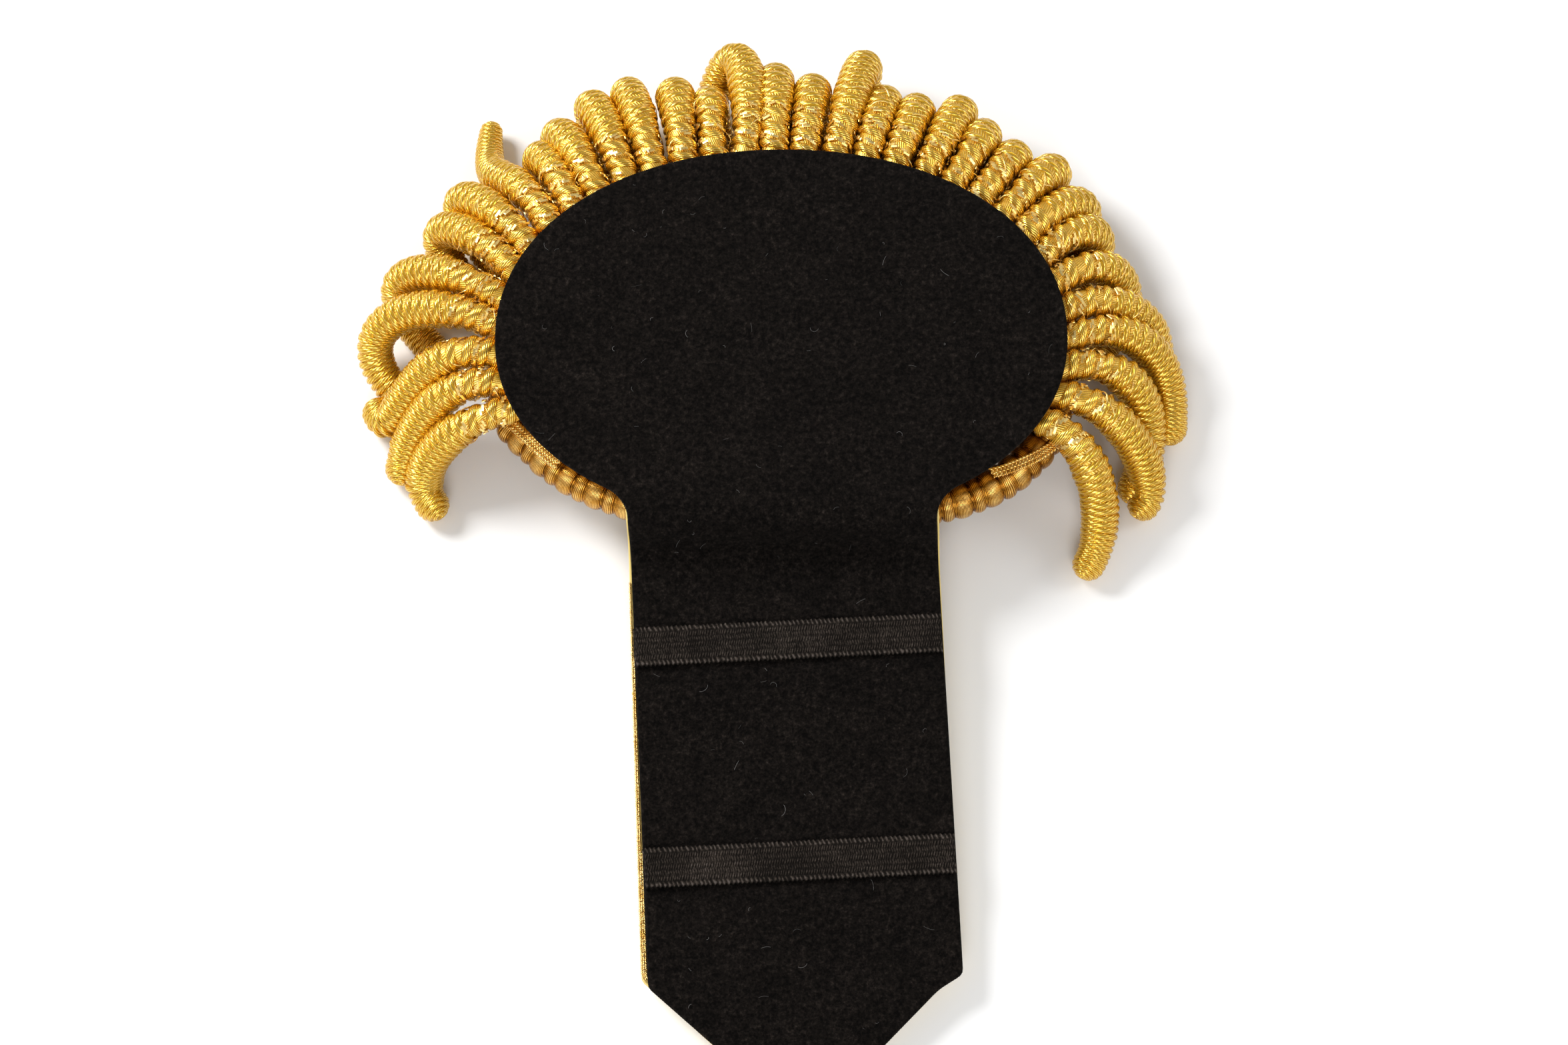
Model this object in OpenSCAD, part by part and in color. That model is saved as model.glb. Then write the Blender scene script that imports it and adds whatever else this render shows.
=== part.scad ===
// A bullion epaulette lying on its gold face, with the felt side up.
// X runs across the oval pad, +Y points to the pad's outer edge, and the strap points to -Y.

/* [Pad] */
// Width of the oval pad
pad_w = 116.6; // [100:0.2:130]
// From the pad's centre to its outer edge
pad_out = 42; // [36:0.5:50]
// From the pad's centre to its neck side, as if there were no neck
pad_in = 40.5; // [34:0.5:46]
// How full the oval is at its shoulders, where 2 is an ellipse
pad_fullness = 2.1; // [2:0.05:2.6]
// Height of the pad's felt above the surface that the epaulette lies on
pad_top = 24; // [24:0.5:32]
// Thickness of the lace-covered board under the pad, with its padding
pad_board_t = 6.4; // [6:0.2:6.4]
// Length over which that board thins down before the neck
board_taper = 9; // [5:0.5:14]

/* [Felt and lace] */
// Thickness of the felt
felt_t = 1.6; // [1:0.1:2.5]
// Thickness of the lace-covered board in the strap
strap_board_t = 2.4; // [1.4:0.2:3]
// Gap between one layer and the next
ply_gap = 0.2; // [0.1:0.05:0.4]
// How far the felt reaches past the board round the pad
felt_over = 2.4; // [2:0.1:3]
// Gold lace that shows beside the felt at the strap's left edge, near the neck
lace_left = 0.4; // [0.2:0.1:1.5]
// Gold lace that shows beside the felt at the strap's right edge, near the neck
lace_right = 0.4; // [0.2:0.1:1.5]
// How much less the board is turned than its felt, which shows more lace on the left near the tip
lace_turn = 0.6; // [0:0.1:1]

/* [Neck] */
// From the pad's centre to where the felt starts to bend down
fold_start = 36; // [32:0.5:39]
// Radius of both bends of the neck
fold_r = 6.6; // [6:0.1:9]
// How steeply the neck falls between its two bends, in degrees
fold_angle = 78; // [60:1:85]
// Radius that blends the strap's edges into the pad's outline
neck_fillet = 8; // [4:0.5:12]

/* [Strap] */
// Width of the felt on the strap
strap_w = 62; // [50:0.5:72]
// From the pad's centre to the sharp tip of the strap's point
strap_reach = 159.2; // [130:0.2:190]
// How far the tip lies beside the strap's axis, to the right
tip_aside = -1.5; // [-4:0.1:4]
// Angle between the left slanting end edge and the strap's axis
point_angle = 45.8; // [35:0.2:60]
// Angle between the right slanting end edge and the strap's axis
point_angle_right = 47.2; // [35:0.2:60]
// Rounding of the strap's corners
corner_r = 1.8; // [0.5:0.1:4]
// Width of the soft shoulder beside the right slanting edge, where the edge runs flatter
shoulder_w = 5; // [3:0.2:8]
// How far that shoulder's corner hangs below the slanting edge
shoulder_drop = 1.8; // [0:0.2:3]
// How much earlier the lace-covered board ends than the felt at the point
board_short = 1.2; // [0:0.1:3]
// Turn of the strap about the neck, seen from above
strap_turn = 2.4; // [0:0.2:6]

/* [Elastic bands] */
// Width of each band
elastic_w = 8; // [5:0.5:12]
// Thickness of each band
elastic_t = 1; // [0.6:0.1:1.5]
// From the pad's centre to the middle of the upper band
elastic_upper_at = 62; // [56:1:80]
// From the pad's centre to the middle of the lower band
elastic_lower_at = 107; // [95:1:120]

/* [Crescent roll] */
// Diameter of the wrapped roll
roll_d = 8; // [6:0.2:8]
// Length of roll that one wrap covers
wrap_pitch = 6.4; // [5:0.2:9]
// Depth of the groove between two wraps
wrap_groove = 0.7; // [0.2:0.1:1]
// How far each end of the roll is tucked under the neck, in degrees of the rim
roll_tuck = 8; // [4:1:12]
// Width of the flat braid above the roll
braid_w = 2.4; // [2:0.1:3]
// Thickness of the flat braid
braid_t = 1; // [0.8:0.1:1.2]
// From the last bullion to the start of the braid, in degrees of the rim
braid_start = 2; // [1:1:10]
// From the last bullion to the end of the braid
braid_end = 18; // [16:1:19]
// Lean of the left braid from the roll's top towards its outer side, in degrees
lean_left = 10; // [8:1:30]
// Lean of the right braid beside the bullions
lean_right = 36; // [10:1:40]
// Lean of the right braid at its other end
lean_right_end = -14; // [-16:1:30]

/* [Bullions] */
// Number of bullions round the rim
bullion_count = 32; // [24:1:40]
// Length of one bullion with its sewn head
bullion_len = 50; // [44:1:56]
// Diameter of one bullion
bullion_d = 7.2; // [6:0.1:7.4]
// Share of that diameter by which the coils spread where a bullion bends
bend_spread = 0.08; // [0:0.01:0.1]
// Share of that diameter that the sewn head has
head_share = 0.88; // [0.75:0.01:0.9]
// Rim angle of the first bullion, counted from +X
first_angle = 200; // [190:1:210]
// Rim angle of the last bullion
last_angle = -25; // [-35:1:-10]
// Thickness of the tape that the heads are sewn to
tape_t = 1.4; // [1:0.1:1.6]
// Rise of a bullion above its head before it falls
bullion_crest = 2; // [0:0.2:3]

/* [Hidden] */

FELT = [0.10, 0.09, 0.08];
ELASTIC = [0.20, 0.18, 0.17];
GOLD = [0.88, 0.66, 0.18];
GOLD_LACE = [0.80, 0.60, 0.20];
GOLD_SHADE = [0.72, 0.48, 0.12];

// One row for each bullion of a full rim of 32, from the neck's left side round the rim to its right.
// Each length is in hundredths of the bullion's length. OUT_ columns count outward from the rim and
// SIDE_ columns along it: the head's handle, the tail's handle and the tip. LIFT is how far the tip
// lies above the surface, on its neighbours.
OUT_HEAD = 0;
SIDE_HEAD = 1;
OUT_TAIL = 2;
SIDE_TAIL = 3;
OUT_TIP = 4;
SIDE_TIP = 5;
LIFT = 6;
LIE = [
    [22, 8, 46, 10, 43, -10, 0],
    [28, 14, 44, -6, 47, -12, 0],
    [34, 16, 44, -26, 51, -8, 0],
    [36, 20, 78, 4, 32, -26, 0],
    [36, 14, 70, 10, 28, -16, 0],
    [30, 16, 68, 18, 16, -6, 0],
    [38, 14, 72, 8, 4, -6, 0],
    [38, 14, 40, -4, 63, 23, 0],
    [36, 10, 58, 8, -4, 2, 0],
    [44, 5, 62, 2, 0, -4, 0],
    [53, 6, 70, 3, 0, 0, 0],
    [56, 4, 68, 3, -2, 0, 0],
    [51, 6, 58, 7, -4, 4, 0],
    [46, 4, 46, 4, -8, 4, 0],
    [56, 12, 78, -2, 20, -17, 4],
    [54, 2, 60, 2, 0, 2, 0],
    [48, 3, 54, 4, -2, 0, 0],
    [54, 6, 75, 12, 20, 4, 4],
    [47, 4, 51, 2, -6, 0, 0],
    [47, 2, 50, 2, -6, 0, 0],
    [52, 4, 58, 2, -2, 2, 0],
    [46, 2, 48, -2, -6, -2, 0],
    [42, 1, 46, -2, -6, -2, 0],
    [46, -2, 54, 0, -4, 0, 0],
    [34, -8, 54, 6, 6, 6, 0],
    [30, -12, 48, -2, 6, 8, 0],
    [26, -12, 46, 0, 16, 20, 0],
    [26, -12, 52, 4, 30, 28, 0],
    [28, -14, 48, -6, 44, 26, 0],
    [26, -14, 46, 0, 36, 34, 0],
    [26, -10, 50, 6, 47, 19, 0],
    [24, -6, 42, 12, 43, 32, 0]
];

// One row for each ring of a bullion: its share of the way along the curve, how far it stands past
// the curve's end in radii, and its share of the full radius.
WAY = 0;
PAST = 1;
GIRTH = 2;
RINGS = [
    [0, 0, 0.75 * head_share],
    [0.03, 0, head_share],
    [0.12, 0, head_share],
    [0.22, 0, 0.5 + 0.5 * head_share],
    [0.32, 0, 1 + bend_spread / 2],
    [0.42, 0, 1 + bend_spread],
    [0.52, 0, 1 + bend_spread],
    [0.61, 0, 1 + bend_spread * 3 / 4],
    [0.72, 0, 1 + bend_spread / 3],
    [0.85, 0, 1],
    [1, 0, 0.96],
    [1, 0.6, 0.76],
    [1, 0.95, 0.34]
];
BULLION_SIDES = 8;
ROLL_SIDES = 8;
RIM_STEPS = 144;
FOLD_STEPS = 10;
TAPER_STEPS = 5;
BRAID_STEPS = 16;
// Half of the short angle over which a direction along the rim is taken, and the girth of the roll's
// cut ends as a share of its own
RIM_NEAR = 0.5;
ROLL_END = 0.6;

pad_a = pad_w / 2;
bullion_r = bullion_d / 2;
roll_r = roll_d / 2;
pad_deep = felt_t + ply_gap + pad_board_t;
strap_deep = felt_t + ply_gap + strap_board_t;
roll_z = pad_top - pad_deep - ply_gap - roll_r;
head_z = roll_z + roll_r + ply_gap + pad_board_t / 2;
strap_foot = fold_start + 2 * fold_r * sin(fold_angle);
strap_drop = 2 * fold_r * (1 - cos(fold_angle));
strap_slope = asin((pad_top - strap_drop - strap_deep) / (strap_reach - strap_foot));
neck_pivot = fold_start + fold_r;
tip_y = -(strap_reach - corner_r * (1 / sin((point_angle + point_angle_right) / 2) - 1));

function mix(a, b, share) = a + (b - a) * share;
function smooth(x) = let (u = max(0, min(1, x))) u * u * (3 - 2 * u);
function unit(v) = v / norm(v);
function signed_power(v, e) = sign(v) * pow(abs(v), e);

// A point of the pad's oval at a rim angle, moved outward by a little
function rim_point(angle, grow = 0) =
    [
        (pad_a + grow) * signed_power(cos(angle), 2 / pad_fullness),
        ((sin(angle) > 0 ? pad_out : pad_in) + grow) * signed_power(sin(angle), 2 / pad_fullness)
    ];

// The outward direction of the oval at a rim angle
function rim_out(angle) =
    let (step = rim_point(angle - RIM_NEAR) - rim_point(angle + RIM_NEAR))
    unit([-step.y, step.x]);

// Length along the oval from the first bullion's angle to each of many angles
span_angles = [for (k = [0:RIM_STEPS]) mix(first_angle, last_angle, k / RIM_STEPS)];
span_lengths = [
    for (k = 0, run = 0; k <= RIM_STEPS; k = k + 1,
        run = run + (k <= RIM_STEPS ? norm(rim_point(span_angles[k]) - rim_point(span_angles[k - 1])) : 0))
        run
];
angle_at_length = [for (k = [0:RIM_STEPS]) [span_lengths[k], span_angles[k]]];

// The rim angle of one bullion, when all are spread evenly along the rim
function head_angle(i) = lookup(span_lengths[RIM_STEPS] * i / (bullion_count - 1), angle_at_length);

// The row that says how one bullion lies
function lie(i) = LIE[round(i * (len(LIE) - 1) / (bullion_count - 1))];

// The four points that steer one bullion's curve
function steer(i) =
    let (
        angle = head_angle(i),
        out = rim_out(angle),
        along = [out.y, -out.x],
        root = rim_point(angle),
        row = lie(i) * bullion_len / 100,
        low = bullion_r + row[LIFT],
        spot = function (o, s, z) [root.x + out.x * o + along.x * s, root.y + out.y * o + along.y * s, z]
    )
    [
        spot(ply_gap + tape_t / 2 - felt_over, 0, head_z),
        spot(row[OUT_HEAD], row[SIDE_HEAD], head_z + bullion_crest),
        spot(row[OUT_TAIL], row[SIDE_TAIL], low),
        spot(row[OUT_TIP], row[SIDE_TIP], low)
    ];

function curve_point(p, t) =
    pow(1 - t, 3) * p[0] + 3 * pow(1 - t, 2) * t * p[1] + 3 * (1 - t) * t * t * p[2] + pow(t, 3) * p[3];

function curve_way(p, t) =
    unit(pow(1 - t, 2) * (p[1] - p[0]) + 2 * (1 - t) * t * (p[2] - p[1]) + t * t * (p[3] - p[2]));

// A ring of points about a centre, square to a direction, with the first point on a reference side
function ring(centre, way, reference, r, sides) =
    let (
        side = unit(reference - way * (reference * way)),
        up = cross(way, side)
    )
    [for (k = [0:sides - 1])
        centre + (side * cos(360 * k / sides) + up * sin(360 * k / sides)) * r];

// Faces of a tube of rings with flat ends
function tube_faces(rings, sides) =
    concat(
        [[for (k = [0:sides - 1]) k]],
        [for (i = [0:rings - 2], k = [0:sides - 1])
            let (a = i * sides + k, b = i * sides + (k + 1) % sides)
            [a, a + sides, b + sides, b]],
        [[for (k = [sides - 1:-1:0]) (rings - 1) * sides + k]]
    );

module tube(rings, sides) {
    polyhedron(points = [for (r = rings, p = r) p], faces = tube_faces(len(rings), sides));
}

function bullion_rings(i) =
    let (
        p = steer(i),
        reference = unit(cross(p[1] - p[0], p[3] - p[0]))
    )
    [for (row = RINGS)
        let (way = curve_way(p, row[WAY]))
        ring(
            curve_point(p, row[WAY]) + way * row[PAST] * bullion_r, way, reference,
            bullion_r * row[GIRTH], BULLION_SIDES
        )];

// The whole fringe is worked out once, so that its reach can centre the model
fringe = [for (i = [0:bullion_count - 1]) bullion_rings(i)];
fringe_points = [for (b = fringe, r = b, p = r) p];
left_x = min([for (p = fringe_points) p.x]);
right_x = max([for (p = fringe_points) p.x]);
outer_y = max([for (p = fringe_points) p.y]);
centre = [(left_x + right_x) / 2, (outer_y + tip_y) / 2];

module placed() {
    translate([-centre.x, -centre.y, 0]) children();
}

module pad_outline(grow = 0) {
    polygon([for (k = [0:RIM_STEPS - 1]) rim_point(360 * k / RIM_STEPS, grow)]);
}

// The strap's outline with its point, wider by left and right than the felt, turned back a little and
// shorter if so asked
module strap_outline(left = 0, right = 0, back = 0, short = 0) {
    half = strap_w / 2;
    tip = short - strap_reach;
    slant = tan(point_angle);
    slant_right = tan(point_angle_right);
    translate([0, -neck_pivot]) rotate(strap_turn - back) translate([0, neck_pivot])
        offset(r = corner_r) offset(delta = -corner_r)
            polygon([
                [-half - left, -pad_in / 2],
                [-half - left, tip + (half + left + tip_aside) / slant],
                [tip_aside, tip],
                [half + right - shoulder_w, tip + (half + right - tip_aside - shoulder_w) / slant_right],
                [half + right, tip + (half + right - tip_aside) / slant_right - shoulder_drop],
                [half + right, -pad_in / 2]
            ]);
}

module plan(grow = 0, left = 0, right = 0, back = 0, short = 0) {
    offset(r = -neck_fillet) offset(delta = neck_fillet) union() {
        pad_outline(grow);
        strap_outline(left, right, back, short);
    }
}

// Side view of the felt's top: one row each of Y, Z and how steeply it falls
side_rows = concat(
    [[pad_out + bullion_len, pad_top, 0]],
    [for (k = [TAPER_STEPS:-1:1]) [board_taper * k / TAPER_STEPS - fold_start, pad_top, 0]],
    [for (k = [0:FOLD_STEPS])
        let (a = fold_angle * k / FOLD_STEPS)
        [-fold_start - fold_r * sin(a), pad_top - fold_r * (1 - cos(a)), a]],
    [for (k = [1:FOLD_STEPS])
        let (a = mix(fold_angle, strap_slope, k / FOLD_STEPS))
        [
            -fold_start - fold_r * (2 * sin(fold_angle) - sin(a)),
            pad_top - fold_r * (1 - 2 * cos(fold_angle) + cos(a)),
            a
        ]]
);
strap_start = side_rows[len(side_rows) - 1];
strap_end = [
    -strap_reach - corner_r,
    strap_start[1] - (strap_reach + corner_r + strap_start[0]) * tan(strap_slope),
    strap_slope
];
sheet_rows = concat(side_rows, [strap_end]);

// The same line a little below the top, deeper under the pad than under the strap if so asked
function under(deep_pad, deep_strap) =
    [for (row = sheet_rows)
        let (d = mix(deep_strap, deep_pad, smooth((row[0] + fold_start) / board_taper)))
        [row[0] + d * sin(row[2]), row[1] - d * cos(row[2])]];

module side_sheet(top, low_pad, low_strap) {
    lower = under(low_pad, low_strap);
    rotate([90, 0, 90])
        linear_extrude(height = pad_w * 2, center = true)
            polygon(concat(under(top, top), [for (k = [len(lower) - 1:-1:0]) lower[k]]));
}

module felt_backing() {
    color(FELT) placed() intersection() {
        side_sheet(0, felt_t, felt_t);
        linear_extrude(height = pad_top * 2) plan();
    }
}

module lace_board() {
    color(GOLD_LACE) placed() intersection() {
        side_sheet(felt_t + ply_gap, pad_deep, strap_deep);
        linear_extrude(height = pad_top * 2) plan(-felt_over, lace_left, lace_right, lace_turn, board_short);
    }
}

// One row for each place along the roll's end beside the neck, by degrees past the last bullion:
// how far the roll's middle lies inside the felt's edge there, in shares of the roll's radius
BESIDE = 0;
INSET_LEFT = 1;
INSET_RIGHT = 2;
ROLL_LIE = [
    [-14, 0.25, 0.25],
    [0, 0, -0.25],
    [8, 0.3, -0.22],
    [16, 0.4, -0.15],
    [25, 0.54, 0.15],
    [32, 0.7, 0.45],
    [38, 0.85, 0.7],
    [50, 1.2, 1.2]
];
neck_reach = 38;
roll_from = first_angle + neck_reach + roll_tuck;
roll_to = last_angle - neck_reach - roll_tuck;

function roll_inset(angle) =
    roll_r * (angle > 90
        ? lookup(angle - first_angle, [for (row = ROLL_LIE) [row[BESIDE], row[INSET_LEFT]]])
        : lookup(last_angle - angle, [for (row = ROLL_LIE) [row[BESIDE], row[INSET_RIGHT]]]));

function roll_point(angle) =
    let (p = rim_point(angle), out = rim_out(angle), d = roll_inset(angle))
    [p.x - out.x * d, p.y - out.y * d, roll_z];

// Length of the roll's middle line, one step of the rim at a time
roll_line = [for (k = [0:RIM_STEPS]) roll_point(mix(roll_from, roll_to, k / RIM_STEPS))];
roll_length = [
    for (k = 1, run = 0; k <= RIM_STEPS + 1;
        run = run + (k <= RIM_STEPS ? norm(roll_line[k] - roll_line[k - 1]) : 0), k = k + 1)
        run
][RIM_STEPS];
wraps = round(roll_length / wrap_pitch);

module crescent_roll() {
    color(GOLD_SHADE) placed()
        tube(
            [for (k = [0:2 * wraps])
                let (
                    angle = mix(roll_from, roll_to, k / (2 * wraps)),
                    way = unit(roll_point(angle - RIM_NEAR) - roll_point(angle + RIM_NEAR)),
                    girth = k == 0 || k == 2 * wraps ? ROLL_END : 1,
                    r = girth * (k % 2 == 0 ? roll_r - wrap_groove : roll_r)
                )
                ring(roll_point(angle), way, [0, 0, 1], r, ROLL_SIDES)],
            ROLL_SIDES
        );
}

// A flat braid that lies on the roll's shoulder, with rounded edges
BRAID_SECTION = [[-1, -0.4], [-0.8, -1], [0.8, -1], [1, -0.4], [1, 0.4], [0.8, 1], [-0.8, 1], [-1, 0.4]];

module edge_braid(from, to, lean_from, lean_to) {
    lay = roll_r + ply_gap + braid_t / 2;
    placed()
        tube(
            [for (k = [0:BRAID_STEPS])
                let (
                    angle = mix(from, to, k / BRAID_STEPS),
                    out = rim_out(angle),
                    way = unit(roll_point(angle + RIM_NEAR) - roll_point(angle - RIM_NEAR)),
                    lean = mix(lean_from, lean_to, k / BRAID_STEPS),
                    up = [out.x * sin(lean), out.y * sin(lean), cos(lean)],
                    across = cross(way, up),
                    middle = roll_point(angle) + up * lay
                )
                [for (c = BRAID_SECTION) middle + across * c.x * braid_w / 2 + up * c.y * braid_t / 2]],
            len(BRAID_SECTION)
        );
}

module edge_braid_left() {
    color(GOLD) edge_braid(first_angle + braid_end, first_angle + braid_start, lean_left, lean_left);
}

module edge_braid_right() {
    color(GOLD) edge_braid(last_angle - braid_start, last_angle - braid_end, lean_right, lean_right_end);
}

// The tape runs round the board's edge, between the felt and the roll
module head_tape() {
    steps = RIM_STEPS / 2;
    outer = [for (k = [0:steps]) rim_point(mix(first_angle, last_angle, k / steps), tape_t - felt_over + ply_gap)];
    inner = [for (k = [steps:-1:0]) rim_point(mix(first_angle, last_angle, k / steps), ply_gap - felt_over)];
    translate([0, 0, pad_top - pad_deep])
        linear_extrude(height = pad_board_t)
            polygon(concat(outer, inner));
}

module bullion_fringe() {
    color(GOLD) placed() union() {
        head_tape();
        for (b = fringe) tube(b, BULLION_SIDES);
    }
}

// A flat band on the strap's felt, sewn down at the felt's edges
module elastic(at) {
    placed()
        translate([0, -neck_pivot, 0]) rotate(strap_turn) translate([0, neck_pivot, 0])
        translate([0, strap_start[0], strap_start[1]]) rotate([strap_slope, 0, 0])
        translate([-strap_w / 2, -(at + strap_start[0]) / cos(strap_slope) - elastic_w / 2, ply_gap])
        cube([strap_w, elastic_w, elastic_t]);
}

module elastic_upper() {
    color(ELASTIC) elastic(elastic_upper_at);
}

module elastic_lower() {
    color(ELASTIC) elastic(elastic_lower_at);
}

felt_backing();
lace_board();
crescent_roll();
edge_braid_left();
edge_braid_right();
bullion_fringe();
elastic_upper();
elastic_lower();
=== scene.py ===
"""Dresses the bullion epaulette: felt, gold lace, wrapped roll, braids, coiled bullions and elastic bands."""

import math

import bpy
import numpy as np
from mathutils import Matrix, Vector
from mathutils.geometry import delaunay_2d_cdt


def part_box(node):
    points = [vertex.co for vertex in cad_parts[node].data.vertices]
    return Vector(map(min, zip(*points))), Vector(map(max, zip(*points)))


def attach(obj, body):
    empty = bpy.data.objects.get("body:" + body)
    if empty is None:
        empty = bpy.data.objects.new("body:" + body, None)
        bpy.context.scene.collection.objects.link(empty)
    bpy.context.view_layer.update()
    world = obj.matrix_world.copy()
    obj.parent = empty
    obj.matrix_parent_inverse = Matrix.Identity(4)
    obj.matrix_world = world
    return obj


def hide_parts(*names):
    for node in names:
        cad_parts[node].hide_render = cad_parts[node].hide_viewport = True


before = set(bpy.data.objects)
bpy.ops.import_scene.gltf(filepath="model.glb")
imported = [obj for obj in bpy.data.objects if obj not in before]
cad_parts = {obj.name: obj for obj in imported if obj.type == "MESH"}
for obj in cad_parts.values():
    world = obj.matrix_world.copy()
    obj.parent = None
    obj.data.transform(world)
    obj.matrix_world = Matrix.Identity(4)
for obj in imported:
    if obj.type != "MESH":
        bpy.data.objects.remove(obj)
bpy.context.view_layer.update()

bl_info = {
    "name": "Bullion epaulette",
    "version": (1, 0, 0),
    "blender": (4, 5, 0),
    "location": "View3D > Sidebar > Epaulette",
    "description": "Felt, gold lace, wrapped roll, braids, coiled bullions and elastic bands",
    "category": "Object",
}

MM = 0.001
UPWARD = np.array([0, 0, 1.0])

# Sizes of the solids, in millimetres, which the dressed pieces follow
PAD_HALF_WIDTH = 58.3
PAD_OUT = 42.0
PAD_IN = 40.5
PAD_FULLNESS = 2.1
PAD_TOP = 24.0
FELT = 1.6
PLY_GAP = 0.2
PAD_BOARD = 6.4
STRAP_BOARD = 2.4
BOARD_TAPER = 9.0
FELT_OVER = 2.4
FOLD_START = 36.0
FOLD_RADIUS = 6.6
FOLD_ANGLE = math.radians(78.0)
NECK_FILLET = 8.0
STRAP_WIDTH = 62.0
STRAP_REACH = 159.2
TIP_ASIDE = -1.5
POINT_ANGLE = math.radians(45.8)
POINT_ANGLE_RIGHT = math.radians(47.2)
CORNER = 1.8
SHOULDER_WIDTH = 5.0
SHOULDER_DROP = 1.8
SHOULDER_ROUND = 12.0
BOARD_SHORT = 1.2
STRAP_TURN = math.radians(2.4)
LACE_TURN = math.radians(0.6)
LACE_SIDE = 0.4
ELASTIC_AT = {"elastic_upper": 62.0, "elastic_lower": 107.0}
ELASTIC_WIDTH = 8.0
ROLL_RADIUS = 4.0
ROLL_FROM = 246.0
ROLL_TO = -71.0
BRAID_WIDTH = 2.4
BRAID_THICK = 1.0
FIRST_ANGLE = 200.0
LAST_ANGLE = -25.0
BULLION_LENGTH = 50.0
BULLION_RADIUS = 3.7
BEND_SPREAD = 0.08
TAPE = 1.4
CREST = 2.0

ROLL_Z = PAD_TOP - FELT - PLY_GAP - PAD_BOARD - PLY_GAP - ROLL_RADIUS
HEAD_Z = ROLL_Z + ROLL_RADIUS + PLY_GAP + PAD_BOARD / 2
NECK_PIVOT = FOLD_START + FOLD_RADIUS
STRAP_FOOT = FOLD_START + 2 * FOLD_RADIUS * math.sin(FOLD_ANGLE)
STRAP_DROP = 2 * FOLD_RADIUS * (1 - math.cos(FOLD_ANGLE))
STRAP_DEEP = FELT + PLY_GAP + STRAP_BOARD
STRAP_SLOPE = math.asin((PAD_TOP - STRAP_DROP - STRAP_DEEP) / (STRAP_REACH - STRAP_FOOT))

# Sheets: steps along their edges, how their soft edges curl, as shares of a quarter turn, and the length of
# strap that their side view covers
EDGE_STEP = 0.8
EDGE_CURL = (0.3, 0.6, 0.82, 0.97)
STRAP_RUN = 140

# Lace: its soft edge, the size of its faces, and the spacing of the loops along its edge
LACE_SOFT = 0.3
LACE_STEP = 2.0
LOOP_STEP = 0.44

# Elastic: ribs across a band, faces across and along it, and the length of a stitch within it and along its
# edges
ELASTIC_ROWS = 7
ELASTIC_FACES = (36, 480)
ELASTIC_STITCH = 0.5
ELASTIC_PICOT = 0.9

# Roll: length of a wrap, depth between wraps, the wide wrap's share of the two, the wires' spacing, and the
# mesh's steps in a wrap and round the roll
WRAP_PITCH = 6.4
WRAP_GROOVE = 0.95
LEAF_SHARE = 0.58
ROLL_WIRE = 0.42
WRAP_STEPS = 20
ROLL_SIDES = 32
# Hollowness, height and the wires' fan of the wide and of the narrow wrap, and the angle of the roll's side
# that the neck hides, where painted shade darkens the wires
WIDE_WRAP = (0.45, 1.0, 5.0)
NARROW_WRAP = (0.6, 0.92, 1.5)
ROLL_LEAN = 0.6

# Bullions: a head's girth as a share of the body's, and the one whose thin tail points outward
HEAD_SHARE = 0.92
TAIL_OUT = 7
THIN_TAIL = 0.72
LINE_STEPS = 600
# Half width of a gilt wire as a share of the wires' spacing, in head and body. Wires that pass a cord's
# side at more than CLOSE_LAY apart are a head's, which lie twice as close. CORE_LAY is the cores' spacing
HEAD_WIRE = 0.82
BODY_WIRE = 0.56
CLOSE_LAY = 1.8
CORE_LAY = 1.2

# How each bullion lies: outward and sideways reach of the head's handle, the tail's handle and the
# tip, and the tip's lift, in hundredths of the bullion's length
BULLION_LIE = [
    (22, 8, 46, 10, 43, -10, 0), (28, 14, 44, -6, 47, -12, 0), (34, 16, 44, -26, 51, -8, 0),
    (36, 20, 78, 4, 32, -26, 0), (36, 14, 70, 10, 28, -16, 0), (30, 16, 68, 18, 16, -6, 0),
    (38, 14, 72, 8, 4, -6, 0), (38, 14, 40, -4, 63, 23, 0), (36, 10, 58, 8, -4, 2, 0),
    (44, 5, 62, 2, 0, -4, 0), (53, 6, 70, 3, 0, 0, 0), (56, 4, 68, 3, -2, 0, 0),
    (51, 6, 58, 7, -4, 4, 0), (46, 4, 46, 4, -8, 4, 0), (56, 12, 78, -2, 20, -17, 4),
    (54, 2, 60, 2, 0, 2, 0), (48, 3, 54, 4, -2, 0, 0), (54, 6, 75, 12, 20, 4, 4),
    (47, 4, 51, 2, -6, 0, 0), (47, 2, 50, 2, -6, 0, 0), (52, 4, 58, 2, -2, 2, 0),
    (46, 2, 48, -2, -6, -2, 0), (42, 1, 46, -2, -6, -2, 0), (46, -2, 54, 0, -4, 0, 0),
    (34, -8, 54, 6, 6, 6, 0), (30, -12, 48, -2, 6, 8, 0), (26, -12, 46, 0, 16, 20, 0),
    (26, -12, 52, 4, 30, 28, 0), (28, -14, 48, -6, 44, 26, 0), (26, -14, 46, 0, 36, 34, 0),
    (26, -10, 50, 6, 47, 19, 0), (24, -6, 42, 12, 43, 32, 0),
]
# How far the roll's middle lies inside the felt's edge beside the neck, by degrees past the last
# bullion: left and right, in shares of the roll's radius
ROLL_LIE = [
    (-14, 0.25, 0.25), (0, 0.0, -0.25), (8, 0.3, -0.22), (16, 0.4, -0.15),
    (25, 0.54, 0.15), (32, 0.7, 0.45), (38, 0.85, 0.7), (50, 1.2, 1.2),
]

# Camera and floor: the width of the sensor in millimetres, the photo's focal length and width in pixels, and
# half the floor's width in metres
SENSOR = 36.0
PHOTO_FOCUS = 6375
PHOTO_WIDTH = 2352
FLOOR_HALF = 3.0

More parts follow.
